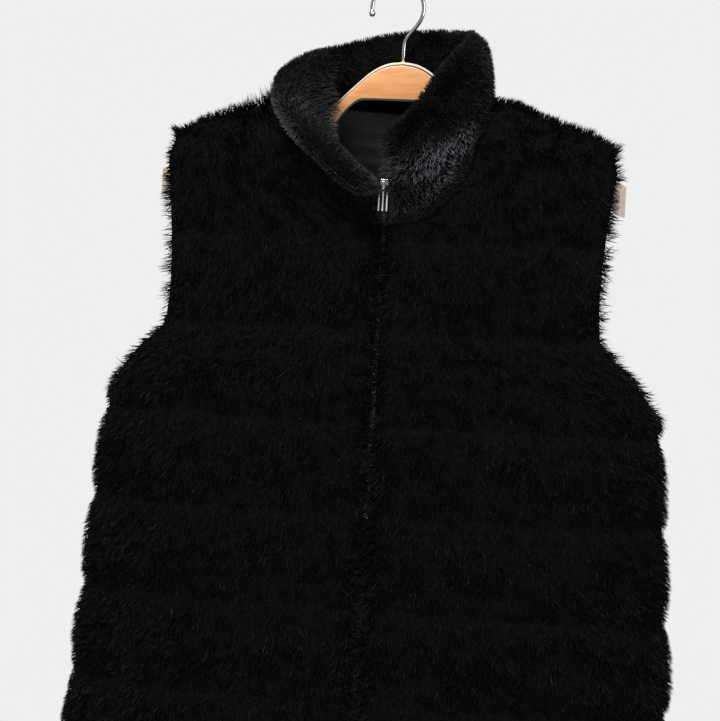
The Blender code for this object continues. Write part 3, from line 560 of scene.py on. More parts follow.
def tube(name, rings):
    # rings of points, one after the other, joined round and capped with a fan at each end
    stations, sides = rings.shape[:2]
    quads = gridQuads(sides, stations, roundRows=True)
    points = rings.swapaxes(0, 1).reshape(-1, 3)
    centres = rings.mean(axis=1)
    quads = faceOut(points, quads, (rings - centres[:, None]).swapaxes(0, 1))
    flipped = not np.array_equal(quads, gridQuads(sides, stations, roundRows=True))
    ring = np.arange(sides) * stations
    after = np.roll(ring, -1)
    first = np.stack([after, ring, np.full(sides, len(points))], axis=-1)
    last = np.stack([ring, after, np.full(sides, len(points) + 1)], axis=-1) + np.array([stations - 1, stations - 1, 0])
    if flipped:
        first, last = first[:, ::-1], last[:, ::-1]
    points = np.concatenate([points, centres[[0, -1]]])
    return newMesh(name, points, quads, np.concatenate([first[:, ::-1], last[:, ::-1]]))


def setInputs(tree, node, sources):
    # each source is a value, a socket, or a node, which stands for its first output
    for key, source in sources.items():
        socket = node.inputs[key]
        if isinstance(source, bpy.types.Node):
            source = source.outputs[0]
        if isinstance(source, bpy.types.NodeSocket):
            tree.links.new(source, socket)
        else:
            socket.default_value = (*source, 1) if socket.type == "RGBA" and len(source) == 3 else source


def addNode(tree, kind, sources=None, **values):
    node = tree.nodes.new("ShaderNode" + kind)
    for key, value in values.items():
        setattr(node, key, value)
    setInputs(tree, node, sources or {})
    return node


def mixColours(tree, share, first, second):
    return addNode(tree, "Mix", {0: share, 6: first, 7: second}, data_type="RGBA").outputs[2]


def remap(tree, value, low, high, start=0.0, end=1.0, clamp=True):
    # start..end becomes low..high
    return addNode(tree, "MapRange", {0: value, 1: start, 2: end, 3: low, 4: high}, clamp=clamp)


def calculate(tree, operation, *values):
    return addNode(tree, "Math", dict(enumerate(values)), operation=operation)


def newGroup(name, inputs, outputs):
    # four numbers make a colour socket, three a vector, and one a float
    made = bpy.data.node_groups.new(name, "ShaderNodeTree")
    for label, value in inputs.items():
        kind = {1: "Float", 3: "Vector", 4: "Color"}[np.size(value)]
        made.interface.new_socket(label, in_out="INPUT", socket_type="NodeSocket" + kind).default_value = value
    for label in outputs:
        kind = "Color" if label == "Colour" else "Float"
        made.interface.new_socket(label, in_out="OUTPUT", socket_type="NodeSocket" + kind)
    return made, made.nodes.new("NodeGroupInput").outputs, made.nodes.new("NodeGroupOutput")


blank, white = (0, 0, 0, 1), (1, 1, 1, 1)    # a group's own colours, replaced where it is placed


def fibreGroup():
    # colour = root mixed with tip by the place along the hair, the darker root being painted shade deep in the pile,
    # times the hair's own tone, which also carries painted light and shade from the spots
    made, given, out = newGroup(
        "fibre tone", {"Root": blank, "Tip": blank, "Along": 0.0, "Tone": 0.5}, ("Colour", "Roughness"),
    )
    place = calculate(made, "POWER", given["Along"], 1.4)
    strength = remap(made, given["Tone"], 0.45, 1.9, clamp=False)
    colour = mixColours(made, place, given["Root"], given["Tip"])
    scaled = addNode(made, "VectorMath", {0: colour, "Scale": strength}, operation="SCALE")
    setInputs(made, out, {"Colour": scaled, "Roughness": remap(made, given["Tone"], 0.62, 0.42)})
    return made


def grainGroup():
    # long noise drawn out along X, with rings bent by a second noise: pale and dark years
    made, given, out = newGroup(
        "wood grain", {"Place": (0, 0, 0), "Pale": white, "Dark": blank, "Scale": 1.0},
        ("Colour", "Height", "Roughness"),
    )
    stretch = addNode(made, "VectorMath", {0: given["Place"], 1: (14, 160, 190)}, operation="MULTIPLY")
    sized = addNode(made, "VectorMath", {0: stretch, "Scale": given["Scale"]}, operation="SCALE")
    years = addNode(made, "TexNoise", {"Vector": sized, "Scale": 1.0, "Detail": 4.0, "Distortion": 1.1})
    pores = addNode(made, "TexNoise", {"Vector": sized, "Scale": 6.5, "Detail": 2.0})
    colour = mixColours(made, remap(made, years, 0, 1, 0.36, 0.66), given["Pale"], given["Dark"])
    colour = mixColours(made, remap(made, pores, 0, 0.35, 0.6, 0.74), colour, given["Dark"])
    setInputs(made, out, {"Colour": colour, "Height": pores, "Roughness": remap(made, years, 0.3, 0.42)})
    return made


def weaveGroup():
    # threads at right angles: height = |sin along| * |sin across|, shaded from thread to thread by a noise
    made, given, out = newGroup(
        "cloth weave", {"Place": (0, 0, 0), "Pitch": 0.001, "Base": blank, "Lit": white},
        ("Colour", "Height", "Roughness"),
    )
    turns = calculate(made, "DIVIDE", 3.14159, given["Pitch"])
    scaled = addNode(made, "VectorMath", {0: given["Place"], "Scale": turns}, operation="SCALE")
    parts = addNode(made, "SeparateXYZ", {0: scaled})
    threads = [calculate(made, "ABSOLUTE", calculate(made, "SINE", parts.outputs[axis])) for axis in (0, 1)]
    height = calculate(made, "MULTIPLY", *threads)
    slubs = addNode(made, "TexNoise", {"Vector": scaled, "Scale": 0.05, "Detail": 5.0})
    colour = mixColours(made, calculate(made, "MULTIPLY", height, slubs), given["Base"], given["Lit"])
    setInputs(made, out, {"Colour": colour, "Height": height, "Roughness": remap(made, slubs, 0.3, 0.55)})
    return made


def newFinish(name, **constants):
    made = bpy.data.materials.new(name)
    made.use_nodes = True
    shader = made.node_tree.nodes["Principled BSDF"]
    setInputs(made.node_tree, shader, {label.replace("_", " "): value for label, value in constants.items()})
    return made, made.node_tree, shader


def objectPlace(tree):
    return addNode(tree, "TexCoord").outputs["Object"]


def liftSurface(tree, shader, height, strength, distance):
    bump = addNode(tree, "Bump", {"Strength": strength, "Distance": distance, "Height": height})
    setInputs(tree, shader, {"Normal": bump})


def placeGroup(tree, group, shader, sources):
    node = addNode(tree, "Group", sources, node_tree=group)
    setInputs(tree, shader, {"Base Color": node.outputs["Colour"], "Roughness": node.outputs["Roughness"]})
    return node


fibre, grain, weave = fibreGroup(), grainGroup(), weaveGroup()


def hairFinish(name, root, tip, gloss):
    # the fibre group, read at each hair's own place and tone
    made, tree, shader = newFinish(name, Specular_IOR_Level=gloss)
    place, tone = (addNode(tree, "Attribute", attribute_name=label).outputs["Fac"] for label in ("along", "tone"))
    placeGroup(tree, fibre, shader, {"Root": root, "Tip": tip, "Along": place, "Tone": tone})
    return made


def undercoatFinish():
    # fine noise drawn out downward, so the dense pile under the long hairs shows short strokes
    made, tree, shader = newFinish("black undercoat", Specular_IOR_Level=0.06, Roughness=0.9)
    drawn = addNode(tree, "VectorMath", {0: objectPlace(tree), 1: (900, 900, 210)}, operation="MULTIPLY")
    strokes = addNode(tree, "TexNoise", {"Vector": drawn, "Scale": 1.0, "Detail": 3.0})
    share = remap(tree, strokes, 0, 1, 0.35, 0.7)
    colour = mixColours(tree, share, (0.0012, 0.0012, 0.0014, 1), (0.0055, 0.0055, 0.0066, 1))
    setInputs(tree, shader, {"Base Color": colour})
    liftSurface(tree, shader, strokes, 0.9, 0.0012)
    return made


def clothFinish(name, pitch, base, lit, bump, **constants):
    # the weave group on the sheet's own flat UV in metres, raised by half a thread
    made, tree, shader = newFinish(name, **constants)
    place = addNode(tree, "UVMap", uv_map="flat")
    node = placeGroup(tree, weave, shader, {"Place": place, "Pitch": pitch, "Base": base, "Lit": lit})
    liftSurface(tree, shader, node.outputs["Height"], bump, pitch / 2)
    return made


def woodFinish(name, pale, dark, scale, **constants):
    # the grain group on object coordinates, with its pores sunk a little
    made, tree, shader = newFinish(name, **constants)
    sources = {"Place": objectPlace(tree), "Pale": pale, "Dark": dark, "Scale": scale}
    liftSurface(tree, shader, placeGroup(tree, grain, shader, sources).outputs["Height"], 0.12, 0.0002)
    return made


def metalFinish(name, colour, dull, low, high):
    # faint rubbed patches: roughness and colour follow one soft noise
    made, tree, shader = newFinish(name, Metallic=1.0)
    patches = addNode(tree, "TexNoise", {"Vector": objectPlace(tree), "Scale": 420.0, "Detail": 5.0})
    rubbed = mixColours(tree, patches, colour, dull)
    setInputs(tree, shader, {"Base Color": rubbed, "Roughness": remap(tree, patches, low, high)})
    return made


def pullHighlightFinish():
    # painted highlights: three upright bars of the nickel pull are painted bright where |x| > 3.1 mm or |x| < 0.5 mm,
    # the rest near black
    made, tree, shader = newFinish("nickel pull with painted highlights", Metallic=1.0)
    away = calculate(tree, "ABSOLUTE", addNode(tree, "SeparateXYZ", {0: objectPlace(tree)}))
    outer, inner = remap(tree, away, 0, 1, 0.0029, 0.0033), remap(tree, away, 1, 0, 0.0004, 0.0007)
    highlightBars = calculate(tree, "MAXIMUM", outer, inner)
    colour = mixColours(tree, highlightBars, (0.035, 0.035, 0.036), (0.93, 0.92, 0.9))
    setInputs(tree, shader, {"Base Color": colour, "Roughness": remap(tree, highlightBars, 0.2, 0.34)})
    return made


def teethFinish():
    # black with a faint uneven shade: two near blacks mixed by a fine noise
    made, tree, shader = newFinish("black zip teeth", Specular_IOR_Level=0.8, Roughness=0.18)
    shade = mixColours(tree, addNode(tree, "TexNoise", {"Scale": 900.0}), (0.01, 0.01, 0.011), (0.03, 0.03, 0.032))
    setInputs(tree, shader, {"Base Color": shade})
    return made


finish = {
    "hair": hairFinish("black fur", (0.0014, 0.0014, 0.0015), (0.007, 0.007, 0.0074), 0.13),
    # the collar's copy of the black fur: its tips painted far lighter and cooler, standing for the light and sheen on
    # the collar
    "collarHairPaintedLight": hairFinish("black collar fur painted lighter", (0.0022, 0.0022, 0.0024), (0.052, 0.052, 0.0565), 0.14),
    "undercoat": undercoatFinish(),
    "backing": clothFinish("black knit backing", 0.0012, (0.006, 0.006, 0.007), (0.016, 0.016, 0.018), 0.5),
    "satin": clothFinish("black satin", 0.00035, (0.0022, 0.0022, 0.0024), (0.006, 0.006, 0.0066), 0.15,
                         Specular_IOR_Level=0.22, Anisotropic=0.5),
    "tape": clothFinish("black zip tape", 0.0009, (0.006, 0.006, 0.006), (0.02, 0.02, 0.022), 0.6),
    "nickel": metalFinish("nickel", (0.74, 0.73, 0.71), (0.6, 0.59, 0.58), 0.12, 0.26),
    "pullPaintedHighlights": pullHighlightFinish(),
    "steel": metalFinish("polished steel", (0.83, 0.83, 0.85), (0.72, 0.72, 0.74), 0.05, 0.14),
    "orangeWood": woodFinish("orange varnished birch", (0.8, 0.36, 0.125), (0.7, 0.26, 0.075), 1.0,
                             Coat_Weight=0.45, Coat_Roughness=0.12),
    "paleWood": woodFinish("pale birch edge", (0.93, 0.78, 0.58), (0.86, 0.64, 0.42), 1.3,
                           Coat_Weight=0.35, Coat_Roughness=0.15),
    # painted shadow: the dark line between the plies and the front ply's flat top
    "paintedShadowWood": woodFinish("dark painted shadow line", (0.1, 0.035, 0.012), (0.05, 0.018, 0.008), 1.3),
    "endWood": woodFinish("cut birch end", (0.9, 0.74, 0.62), (0.76, 0.56, 0.44), 2.2),
    "teeth": teethFinish(),
}
print("finishes made:", len(finish))


def dress(piece, materials):
    for made in materials if isinstance(materials, list) else [materials]:
        piece.data.materials.append(made)
    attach(piece, "vest")
    return piece


def readGrid(grid, row, column):
    # bilinear reading of a grid at fractional rows and columns
    i = np.minimum(row.astype(int), grid.shape[0] - 2)
    j = np.minimum(column.astype(int), grid.shape[1] - 2)
    shape = (-1,) + (1,) * (grid.ndim - 2)
    s, t = (row - i).reshape(shape), (column - j).reshape(shape)
    upper = grid[i, j] * (1 - t) + grid[i, j + 1] * t
    return upper * (1 - s) + (grid[i + 1, j] * (1 - t) + grid[i + 1, j + 1] * t) * s


def strands(coat, count, draw):
    # A clump is a point of the coat with its own lean. Each hair stands near a clump, runs
    # root -> root + lift -> tip, and its tip is drawn towards the clump's tip.
    root, skin, comb, height = coat["root"], coat["normal"], coat["comb"], coat["height"]
    a, b = root[1:, 1:] - root[:-1, :-1], root[1:, :-1] - root[:-1, 1:]
    weight = norm(np.cross(a, b)) * coat["density"][:-1, :-1]
    chance = (weight / weight.sum()).ravel()
    rows, columns = root.shape[:2]

    def scatter(number):
        cell = draw.choice(len(chance), size=number, p=chance)
        return cell // (columns - 1) + draw.random(number), cell % (columns - 1) + draw.random(number)

    clumps = count // pile["clumpHairs"]
    clumpRow, clumpColumn = scatter(clumps)
    stepDown = norm(np.gradient(root, axis=0))
    stepAcross = norm(np.gradient(root, axis=1))
    owner = draw.integers(0, clumps, count)
    offset = draw.normal(size=(2, count)) * pile["clumpRadius"]
    row = clumpRow[owner] + offset[0] / readGrid(stepDown, clumpRow, clumpColumn)[owner]
    column = clumpColumn[owner] + offset[1] / readGrid(stepAcross, clumpRow, clumpColumn)[owner]
    loose = draw.random(count) < pile["looseShare"]
    looseRow, looseColumn = scatter(count)
    row = np.clip(np.where(loose, looseRow, row), 0, rows - 1.001)
    column = np.clip(np.where(loose, looseColumn, column), 0, columns - 1.001)

    def headings(atRow, atColumn, spread):
        up = unit(readGrid(skin, atRow, atColumn))
        lay = readGrid(comb, atRow, atColumn)
        lay = unit(lay - up * (lay * up).sum(axis=-1, keepdims=True))
        side = np.cross(up, lay)
        turn = draw.normal(size=len(atRow))[:, None] * spread
        lay = lay * np.cos(turn) + side * np.sin(turn)
        stray = draw.normal(size=len(atRow)) * math.radians(pile["leanSpreadDeg"]) * spread * 1.6
        lean = np.clip(readGrid(coat["lean"], atRow, atColumn) + stray, 0.05, 1.35)[:, None]
        return up, unit(up * np.cos(lean) + lay * np.sin(lean)), lean[:, 0]

    clumpPoint = readGrid(root, clumpRow, clumpColumn)
    _, clumpWay, clumpLean = headings(clumpRow, clumpColumn, 0.55)
    clumpLength = readGrid(height, clumpRow, clumpColumn) * draw.uniform(0.95, 1.3, clumps) / np.cos(clumpLean * 0.7)
    clumpTip = clumpPoint + clumpWay * clumpLength[:, None]
    point = readGrid(root, row, column)
    up, way, lean = headings(row, column, 0.4)
    length = readGrid(height, row, column) * draw.uniform(0.72, 1.18, count) / np.cos(lean * 0.7)
    tip = point + way * length[:, None]
    pull = np.where(loose, 0.0, pile["clumpPull"] * draw.uniform(0.5, 1.3, count))[:, None]
    tip = tip + (clumpTip[owner] + 0.35 * (point - clumpPoint[owner]) - tip) * pull
    point = point - up * pile["rootDepth"]
    lift = point + (tip - point) * pile["bendPlace"] + up * (length * pile["bendLift"])[:, None]
    flat = unit(np.cross(tip - point, draw.normal(size=(count, 3)))) * (pile["width"] / 2)
    flat = flat * draw.uniform(0.65, 1.25, count)[:, None]
    bend = flat * pile["bendWidth"]
    points = np.stack([point - flat, point + flat, lift - bend, lift + bend, tip], axis=1)
    start = np.arange(count)[:, None] * 5
    tone = readGrid(coat["tone"], row, column) * (0.45 + 0.55 * draw.random(clumps)[owner])
    tone = tone * draw.uniform(0.6, 1.4, count) + draw.normal(size=count) * 0.08
    numbers = {"along": np.tile([0.0, 0.0, 0.5, 0.5, 1.0], count), "tone": np.repeat(np.clip(tone, -0.25, 4), 5)}
    return points, start + np.array([0, 1, 3, 2]), start + np.array([2, 3, 4]), numbers


def furPiece(name, coat, rows, count, seed, material):
    coat = {key: value[rows] for key, value in coat.items()}
    points, quads, triangles, numbers = strands(coat, count, np.random.default_rng(seed))
    piece = newMesh(name, points, quads, triangles)
    for label, values in numbers.items():
        made = piece.data.attributes.new(label, "FLOAT", "POINT")
        made.data.foreach_set("value", np.asarray(values, np.float32))
    return dress(piece, material)


def undercoat(name, surface, outward, roundRows=False):
    quads = gridQuads(*surface.shape[:2], roundRows=roundRows)
    piece = newMesh(name, surface, faceOut(surface, quads, outward))
    return dress(piece, finish["undercoat"])


def tucked(side, surface, outward, grid):
    # one more row at the shoulder and column at each side seam, low and across the gap, keep light out of it
    low = grid + outward * pile["tuckHeight"] - np.array([0, side * pile["tuckPast"], 0])
    made = []
    for values, edge in ((surface, low), (outward, outward)):
        values, edge = np.concatenate([edge[:1], values]), np.concatenate([edge[:1], edge])
        made.append(np.concatenate([edge[:, :1]] * (side > 0) + [values, edge[:, -1:]], axis=1))
    return made


def sheetPiece(name, inner, normals, thick, material, replaced, coarse):
    piece = closedWall(name, inner, inner + normals * thick)
    giveUv(piece, np.tile(clothUv(inner), (2, 1)))
    dress(piece, material)
    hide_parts(replaced)
    flat, area = cutSize(coarse)
    print(f"{name}: cut {flat[0] * 1000:.0f} x {flat[1] * 1000:.0f} mm, {area:.4f} m2")
    return piece


def panelEdges(side, grid, down, across):
    # each edge: distance from it, the way its fur turns, how strongly, radius, how free it is, length gained
    strength, gain = (0.75, 0.25) if side < 0 else (0.95, 0.65)
    for edge, way in ((grid[:, -1:], across), (grid[:, :1], -across)):
        if side > 0 or way is across:
            isOpen = ease((edge[..., 2] - body["armholeEdge"][-1][0]) / 0.012 + 0.5)
            yield norm(grid - edge), way, strength * isOpen, 0.006, isOpen, gain
        else:
            overZip = 0.45 + 0.5 * ease((pile["zipShows"] - edge[..., 2]) / 0.03)
            yield norm(grid - edge), way, overZip, 0.005, 0.8, 0.35
    yield norm(grid - grid[-1:]), down, np.full((1, 1), 0.9), 0.006, 1.0, 0.2
    yield norm(grid - grid[:1]), -down, np.full((1, 1), 0.35), 0.003, 0.6, 0.0


def panelCoat(side, grid, normals, thick):
    # root = cloth + normal * undercoat height; the comb runs down the rows and turns outward at free edges
    wobble = ripples(grid, 1, pile["heightWaves"])
    full = np.maximum(thick * wobble - creaseDent(side, grid), 0.004)
    under = full * pile["underShare"]
    down = along(grid, 0)
    across = along(grid, 1)
    swirl = ripples(grid, 0, pile["lieWaves"], side)
    comb = down * np.cos(swirl)[..., None] + across * np.sin(swirl)[..., None]
    lean = np.full(under.shape, math.radians(pile["leanDeg"]))
    density = np.ones(under.shape)
    rounding = np.ones(under.shape)
    longer = np.zeros(under.shape)
    for distance, way, strength, radius, free, gain in panelEdges(side, grid, down, across):
        near = np.exp(-distance / pile["edgeReach"]) * strength
        longer = np.maximum(longer, gain * near)
        comb = unit(comb * (1 - near)[..., None] + way * near[..., None])
        density = density + pile["edgeDensity"] * near * free
        lean = lean + (math.radians(pile["edgeLeanDeg"]) - lean) * near * free
        rounding = np.minimum(rounding, np.sqrt(np.clip(1 - (1 - np.clip(distance / radius, 0, 1)) ** 2, 0, 1)))
    shoulder = ease((grid[..., 2] + 0.215) / 0.07)
    lean = lean * (1 - pile["shoulderLift"] * shoulder)
    under = under * (pile["edgeUnder"] + (1 - pile["edgeUnder"]) * rounding)
    root = grid + normals * (pile["clothThick"] + under)[..., None]
    tone = np.clip(ripples(grid, pile["tone"], pile["toneWaves"]), 0.05, 1)
    # the spots add painted light (and, below 0, painted shade) to the hairs' tone
    tone = np.maximum(tone + atSpots(tuftsAndPaintedLight["panels"], 4, grid), 0)
    height = np.maximum(full * 1.02 - under - pile["clothThick"], 0.003)
    height = height * (1 + longer + atSpots(tuftsAndPaintedLight["panels"], 5, grid))
    return {"root": root, "normal": normals, "comb": comb, "height": height, "lean": lean,
            "density": density, "tone": tone}


left, right, back = frontGrid(-1), frontGrid(1), backGrid()


for label, side, (grid, normals, thick), node, seed in (
    ("frontLeft", -1, left, "front_left", 101), ("frontRight", -1, right, "front_right", 102),
    ("back", 1, back[:3], "back", 103),
):
    fineGrid, fineNormal, fineThick = refineGrid(grid, 4, 4), unit(refineGrid(normals, 4, 4)), refineGrid(thick, 4, 4)
    coat = panelCoat(side, fineGrid, fineNormal, fineThick)
    parts = [undercoat(label + "Undercoat", *tucked(side, coat["root"], fineNormal, fineGrid))]
    split = len(fineGrid) * 11 // 20
    shares = [("Fur", slice(None), 0)] if side < 0 else [
        ("FurUpper", slice(0, split + 1), 0), ("FurLower", slice(split, None), 10),
    ]
    for word, rows, later in shares:
        count = pile["frontHairs" if side < 0 else "backHalfHairs"]
        parts.append(furPiece(label + word, coat, rows, count, seed + later, finish["hair"]))
    sheetPiece(label + "Cloth", refineGrid(grid, 2, 2), unit(refineGrid(normals, 2, 2)), pile["clothThick"],
               finish["backing"], node, grid)
    print(label, "dressed")

line, lineNormals, halfIn, halfOut = collarGrids(left, right, back)
fineLine, fineNormals = refineGrid(line, 4, 4), unit(refineGrid(lineNormals, 4, 4))
fineIn, fineOut = refineGrid(halfIn, 4, 4), refineGrid(halfOut, 4, 4)
ends = np.minimum(norm(fineLine - fineLine[:, :1]), norm(fineLine - fineLine[:, -1:]))
endRounding = np.sqrt(np.clip(1 - (1 - np.clip(ends / 0.006, 0, 1)) ** 2, 0.01, 1))
atSeam = 1 - ease(np.linspace(0, 1, fineLine.shape[0]) / 0.12)[:, None]
loop, loopHeight = [], []
for half, way in ((fineIn, -1), (fineOut, 1)):
    full = np.maximum(half * ripples(fineLine, 1, collar["heightWaves"], way), 0.0015)
    under = full * (0.55 + 0.42 * atSeam) * endRounding
    loop.append(fineLine + fineNormals * (way * under)[..., None])
    loopHeight.append(full * 1.05 - under)
loopPoints = np.concatenate([loop[0], loop[1][::-1]])
loopHeights = np.maximum(np.concatenate([loopHeight[0], loopHeight[1][::-1]]), 0.0042)
outwardLoop = np.concatenate([-fineNormals, fineNormals[::-1]])
loopNormals = outwardNormals(loopPoints, outwardLoop)
rimRow = fineLine.shape[0]
riseRow = np.abs(np.arange(2 * rimRow) - (rimRow - 0.5))[:, None]
rimNear = np.exp(-riseRow / (rimRow * collar["rimShare"]))
upVector = along(fineLine, 0)
upLoop = np.concatenate([upVector, upVector[::-1]])
turned = rimNear[..., None] * collar["rimTurn"]
loopNormals = unit(loopNormals * (1 - turned) + upLoop * turned)
acrossLoop = along(loopPoints, 1)
swirl = ripples(loopPoints, 0, collar["lieWaves"])
combLoop = -upLoop * np.cos(swirl)[..., None] + acrossLoop * np.sin(swirl)[..., None]
endNear = np.exp(-np.concatenate([ends, ends[::-1]]) / collar["endReach"])
turned = collar["endTurn"] * endNear[..., None]
endWay = np.where((np.arange(loopPoints.shape[1]) < loopPoints.shape[1] / 2)[None, :, None], -acrossLoop, acrossLoop)
combLoop = unit(combLoop * (1 - turned) + endWay * turned)
# the collar hairs' tone: random waves plus the spots' painted light (and, below 0, painted shade)
toneAndPaintedLight = np.clip(ripples(loopPoints, collar["tone"], collar["toneWaves"]), -0.15, 1)
toneAndPaintedLight = np.maximum(toneAndPaintedLight + atSpots(tuftsAndPaintedLight["collar"], 4, loopPoints), -0.2)
longer = atSpots(tuftsAndPaintedLight["collar"], 5, loopPoints)
loopHeights = loopHeights * (1 + longer)
collarCoat = {
    "root": loopPoints, "normal": loopNormals, "comb": combLoop, "height": loopHeights,
    "lean": math.radians(collar["leanDeg"]) * (1 - 0.6 * rimNear) / (1 + 0.4 * longer),
    "density": np.broadcast_to(1 + 1.2 * rimNear, loopHeights.shape) + 1.0 * endNear, "tone": toneAndPaintedLight,
}
# its foot reaches down inside the neck, so that the seam lets no light through
inFoot, outFoot = ((loopPoints[end][None] + fineLine[:1]) / 2 - upVector[:1] * collar["foot"] for end in (0, -1))
parts = [undercoat(
    "collarUndercoat", np.concatenate([inFoot, loopPoints, outFoot]),
    np.concatenate([outwardLoop[:1], outwardLoop, outwardLoop[-1:]]), roundRows=True,
)]
for word, rows, seed in (("Inside", slice(0, rimRow + 1), 201), ("Outside", slice(rimRow - 1, None), 202)):
    count = pile["collar" + word + "Hairs"]
    parts.append(furPiece("collarFur" + word, collarCoat, rows, count, seed, finish["collarHairPaintedLight"]))
coreLine, coreNormal = refineGrid(line, 2, 2), unit(refineGrid(lineNormals, 2, 2))
sheetPiece("collarCloth", coreLine - coreNormal * collar["core"], coreNormal, 2 * collar["core"], finish["backing"],
           "collar", line)
print("collar dressed")

liningCut = {"bottom": -0.43, "thick": 0.0007, "ripple": 0.0011}
keep = np.flatnonzero(back[0][:, 0, 2] > liningCut["bottom"])
satinGrid = refineGrid(back[0][keep], 5, 4)
satinNormal = unit(refineGrid(back[1][keep], 5, 4))
# shallow level folds that are strongest under the neck, plus a fine uneven ripple
across = np.exp(-(satinGrid[..., 0] / 0.075) ** 2)
drop = satinGrid[..., 2]
waves = np.sin(drop * 420 + 3 * np.sin(satinGrid[..., 0] * 22)) * across * np.exp(-((drop + 0.165) / 0.035) ** 2)
puckers = ripple(satinGrid * np.array([1.0, 1.0, 0.45]), 0.04, 91)
rise = liningCut["ripple"] * (0.35 * np.maximum(waves, -0.2) + 0.45 * puckers + 0.5)
satinFace = satinGrid - satinNormal * (body["seamGap"] + np.maximum(rise, 0))[..., None]
sheetPiece("backLiningCloth", satinFace, -satinNormal, liningCut["thick"], finish["satin"], "back_lining",
           back[0][keep])
print("lining sewn in")


def zipLine(z):
    below = np.minimum(z, body["neckPit"])
    lean = math.tan(math.radians(zipper["lean"])) * 0.6
    return bodyY(-1, np.full_like(below, zipper["halfGap"]), below) - np.maximum(z - body["neckPit"], 0) * lean


def zipTape(name, hand, node):
    pit, gap = body["neckPit"], zipper["halfGap"]
    z = np.concatenate([
        np.linspace(zipper["sliderBottom"] - 0.0004, pit, 10), np.linspace(pit - 0.003, body["hem"] + 0.002, 170),
    ])
    edge = np.where(z >= pit, zipper["chainHalf"] + 0.0002, zipper["tapeWidth"])
    x = zipper["tapeEdge"] + (edge[:, None] - zipper["tapeEdge"]) * np.linspace(0, 1, 7)
    level = np.minimum(z, pit)[:, None] + 0 * x
    behind = bodyY(-1, np.maximum(x, gap), level) - bodyY(-1, np.full_like(level, gap), level)
    y = zipLine(z)[:, None] + zipper["tapeClear"] + behind
    face = np.stack([hand * x, y, z[:, None] + 0 * x], axis=-1)
    piece = closedWall(name, face + np.array([0, zipper["tapeThick"], 0]), face)
    giveUv(piece, np.tile(clothUv(face), (2, 1)))
    dress(piece, finish["tape"])
    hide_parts(node)


def zipTeeth(name, hand):
    # one tooth is a box whose nose is narrower; the row repeats it every pitch, half a pitch on from the other side
    top = zipper["sliderBottom"] - 0.001
    count = int((top - body["hem"] - 0.006) / zipper["pitch"])
    z = top - (np.arange(count) + (0.5 if hand > 0 else 0.0)) * zipper["pitch"]
    length, tall, deep = zipper["toothLength"], zipper["toothHeight"] / 2, zipper["toothDepth"]
    sections = ((-0.0007, 0.6, 0.72), (0.0002, 1.0, 1.0), (length * 0.55, 1.0, 1.0), (length * 0.8, 0.7, 0.8))
    corners = ((1, -1), (1, 1), (0, 1), (0, -1))
    shape = np.array([
        [(hand * x, -deep * front if atFront else 0.0006, up * tall * high) for atFront, up in corners]
        for x, high, front in sections
    ])
    places = np.stack([0 * z, zipLine(z), z], axis=-1)
    points = (places[:, None, None] + shape[None]).reshape(-1, 3)
    sides = [(i + j, i + (j + 1) % 4, i + 4 + (j + 1) % 4, i + 4 + j) for i in (0, 4, 8) for j in range(4)]
    quads = np.array(sides + [(3, 2, 1, 0), (12, 13, 14, 15)])[:, ::-hand]
    piece = newMesh(name, points, (np.arange(count)[:, None, None] * 16 + quads[None]).reshape(-1, 4))
    piece.data.set_sharp_from_angle(angle=math.radians(50))
    dress(piece, finish["teeth"])


for word, hand in (("Left", -1), ("Right", 1)):
    zipTape("zipTape" + word, hand, "zip_tape_" + word.lower())
    zipTeeth("zipTeeth" + word, hand)
for name, made in (("zip_slider", finish["nickel"]), ("zip_pull", finish["pullPaintedHighlights"])):
    node = cad[name]
    node.modifiers.new("weld", "WELD").merge_threshold = 0.00001
    soften = node.modifiers.new("soft edges", "BEVEL")
    soften.width, soften.segments, soften.limit_method = 0.00022, 3, "ANGLE"
    soften.angle_limit = math.radians(35)
    node.data.materials.clear()
    node.data.materials.append(made)
print("zip made")


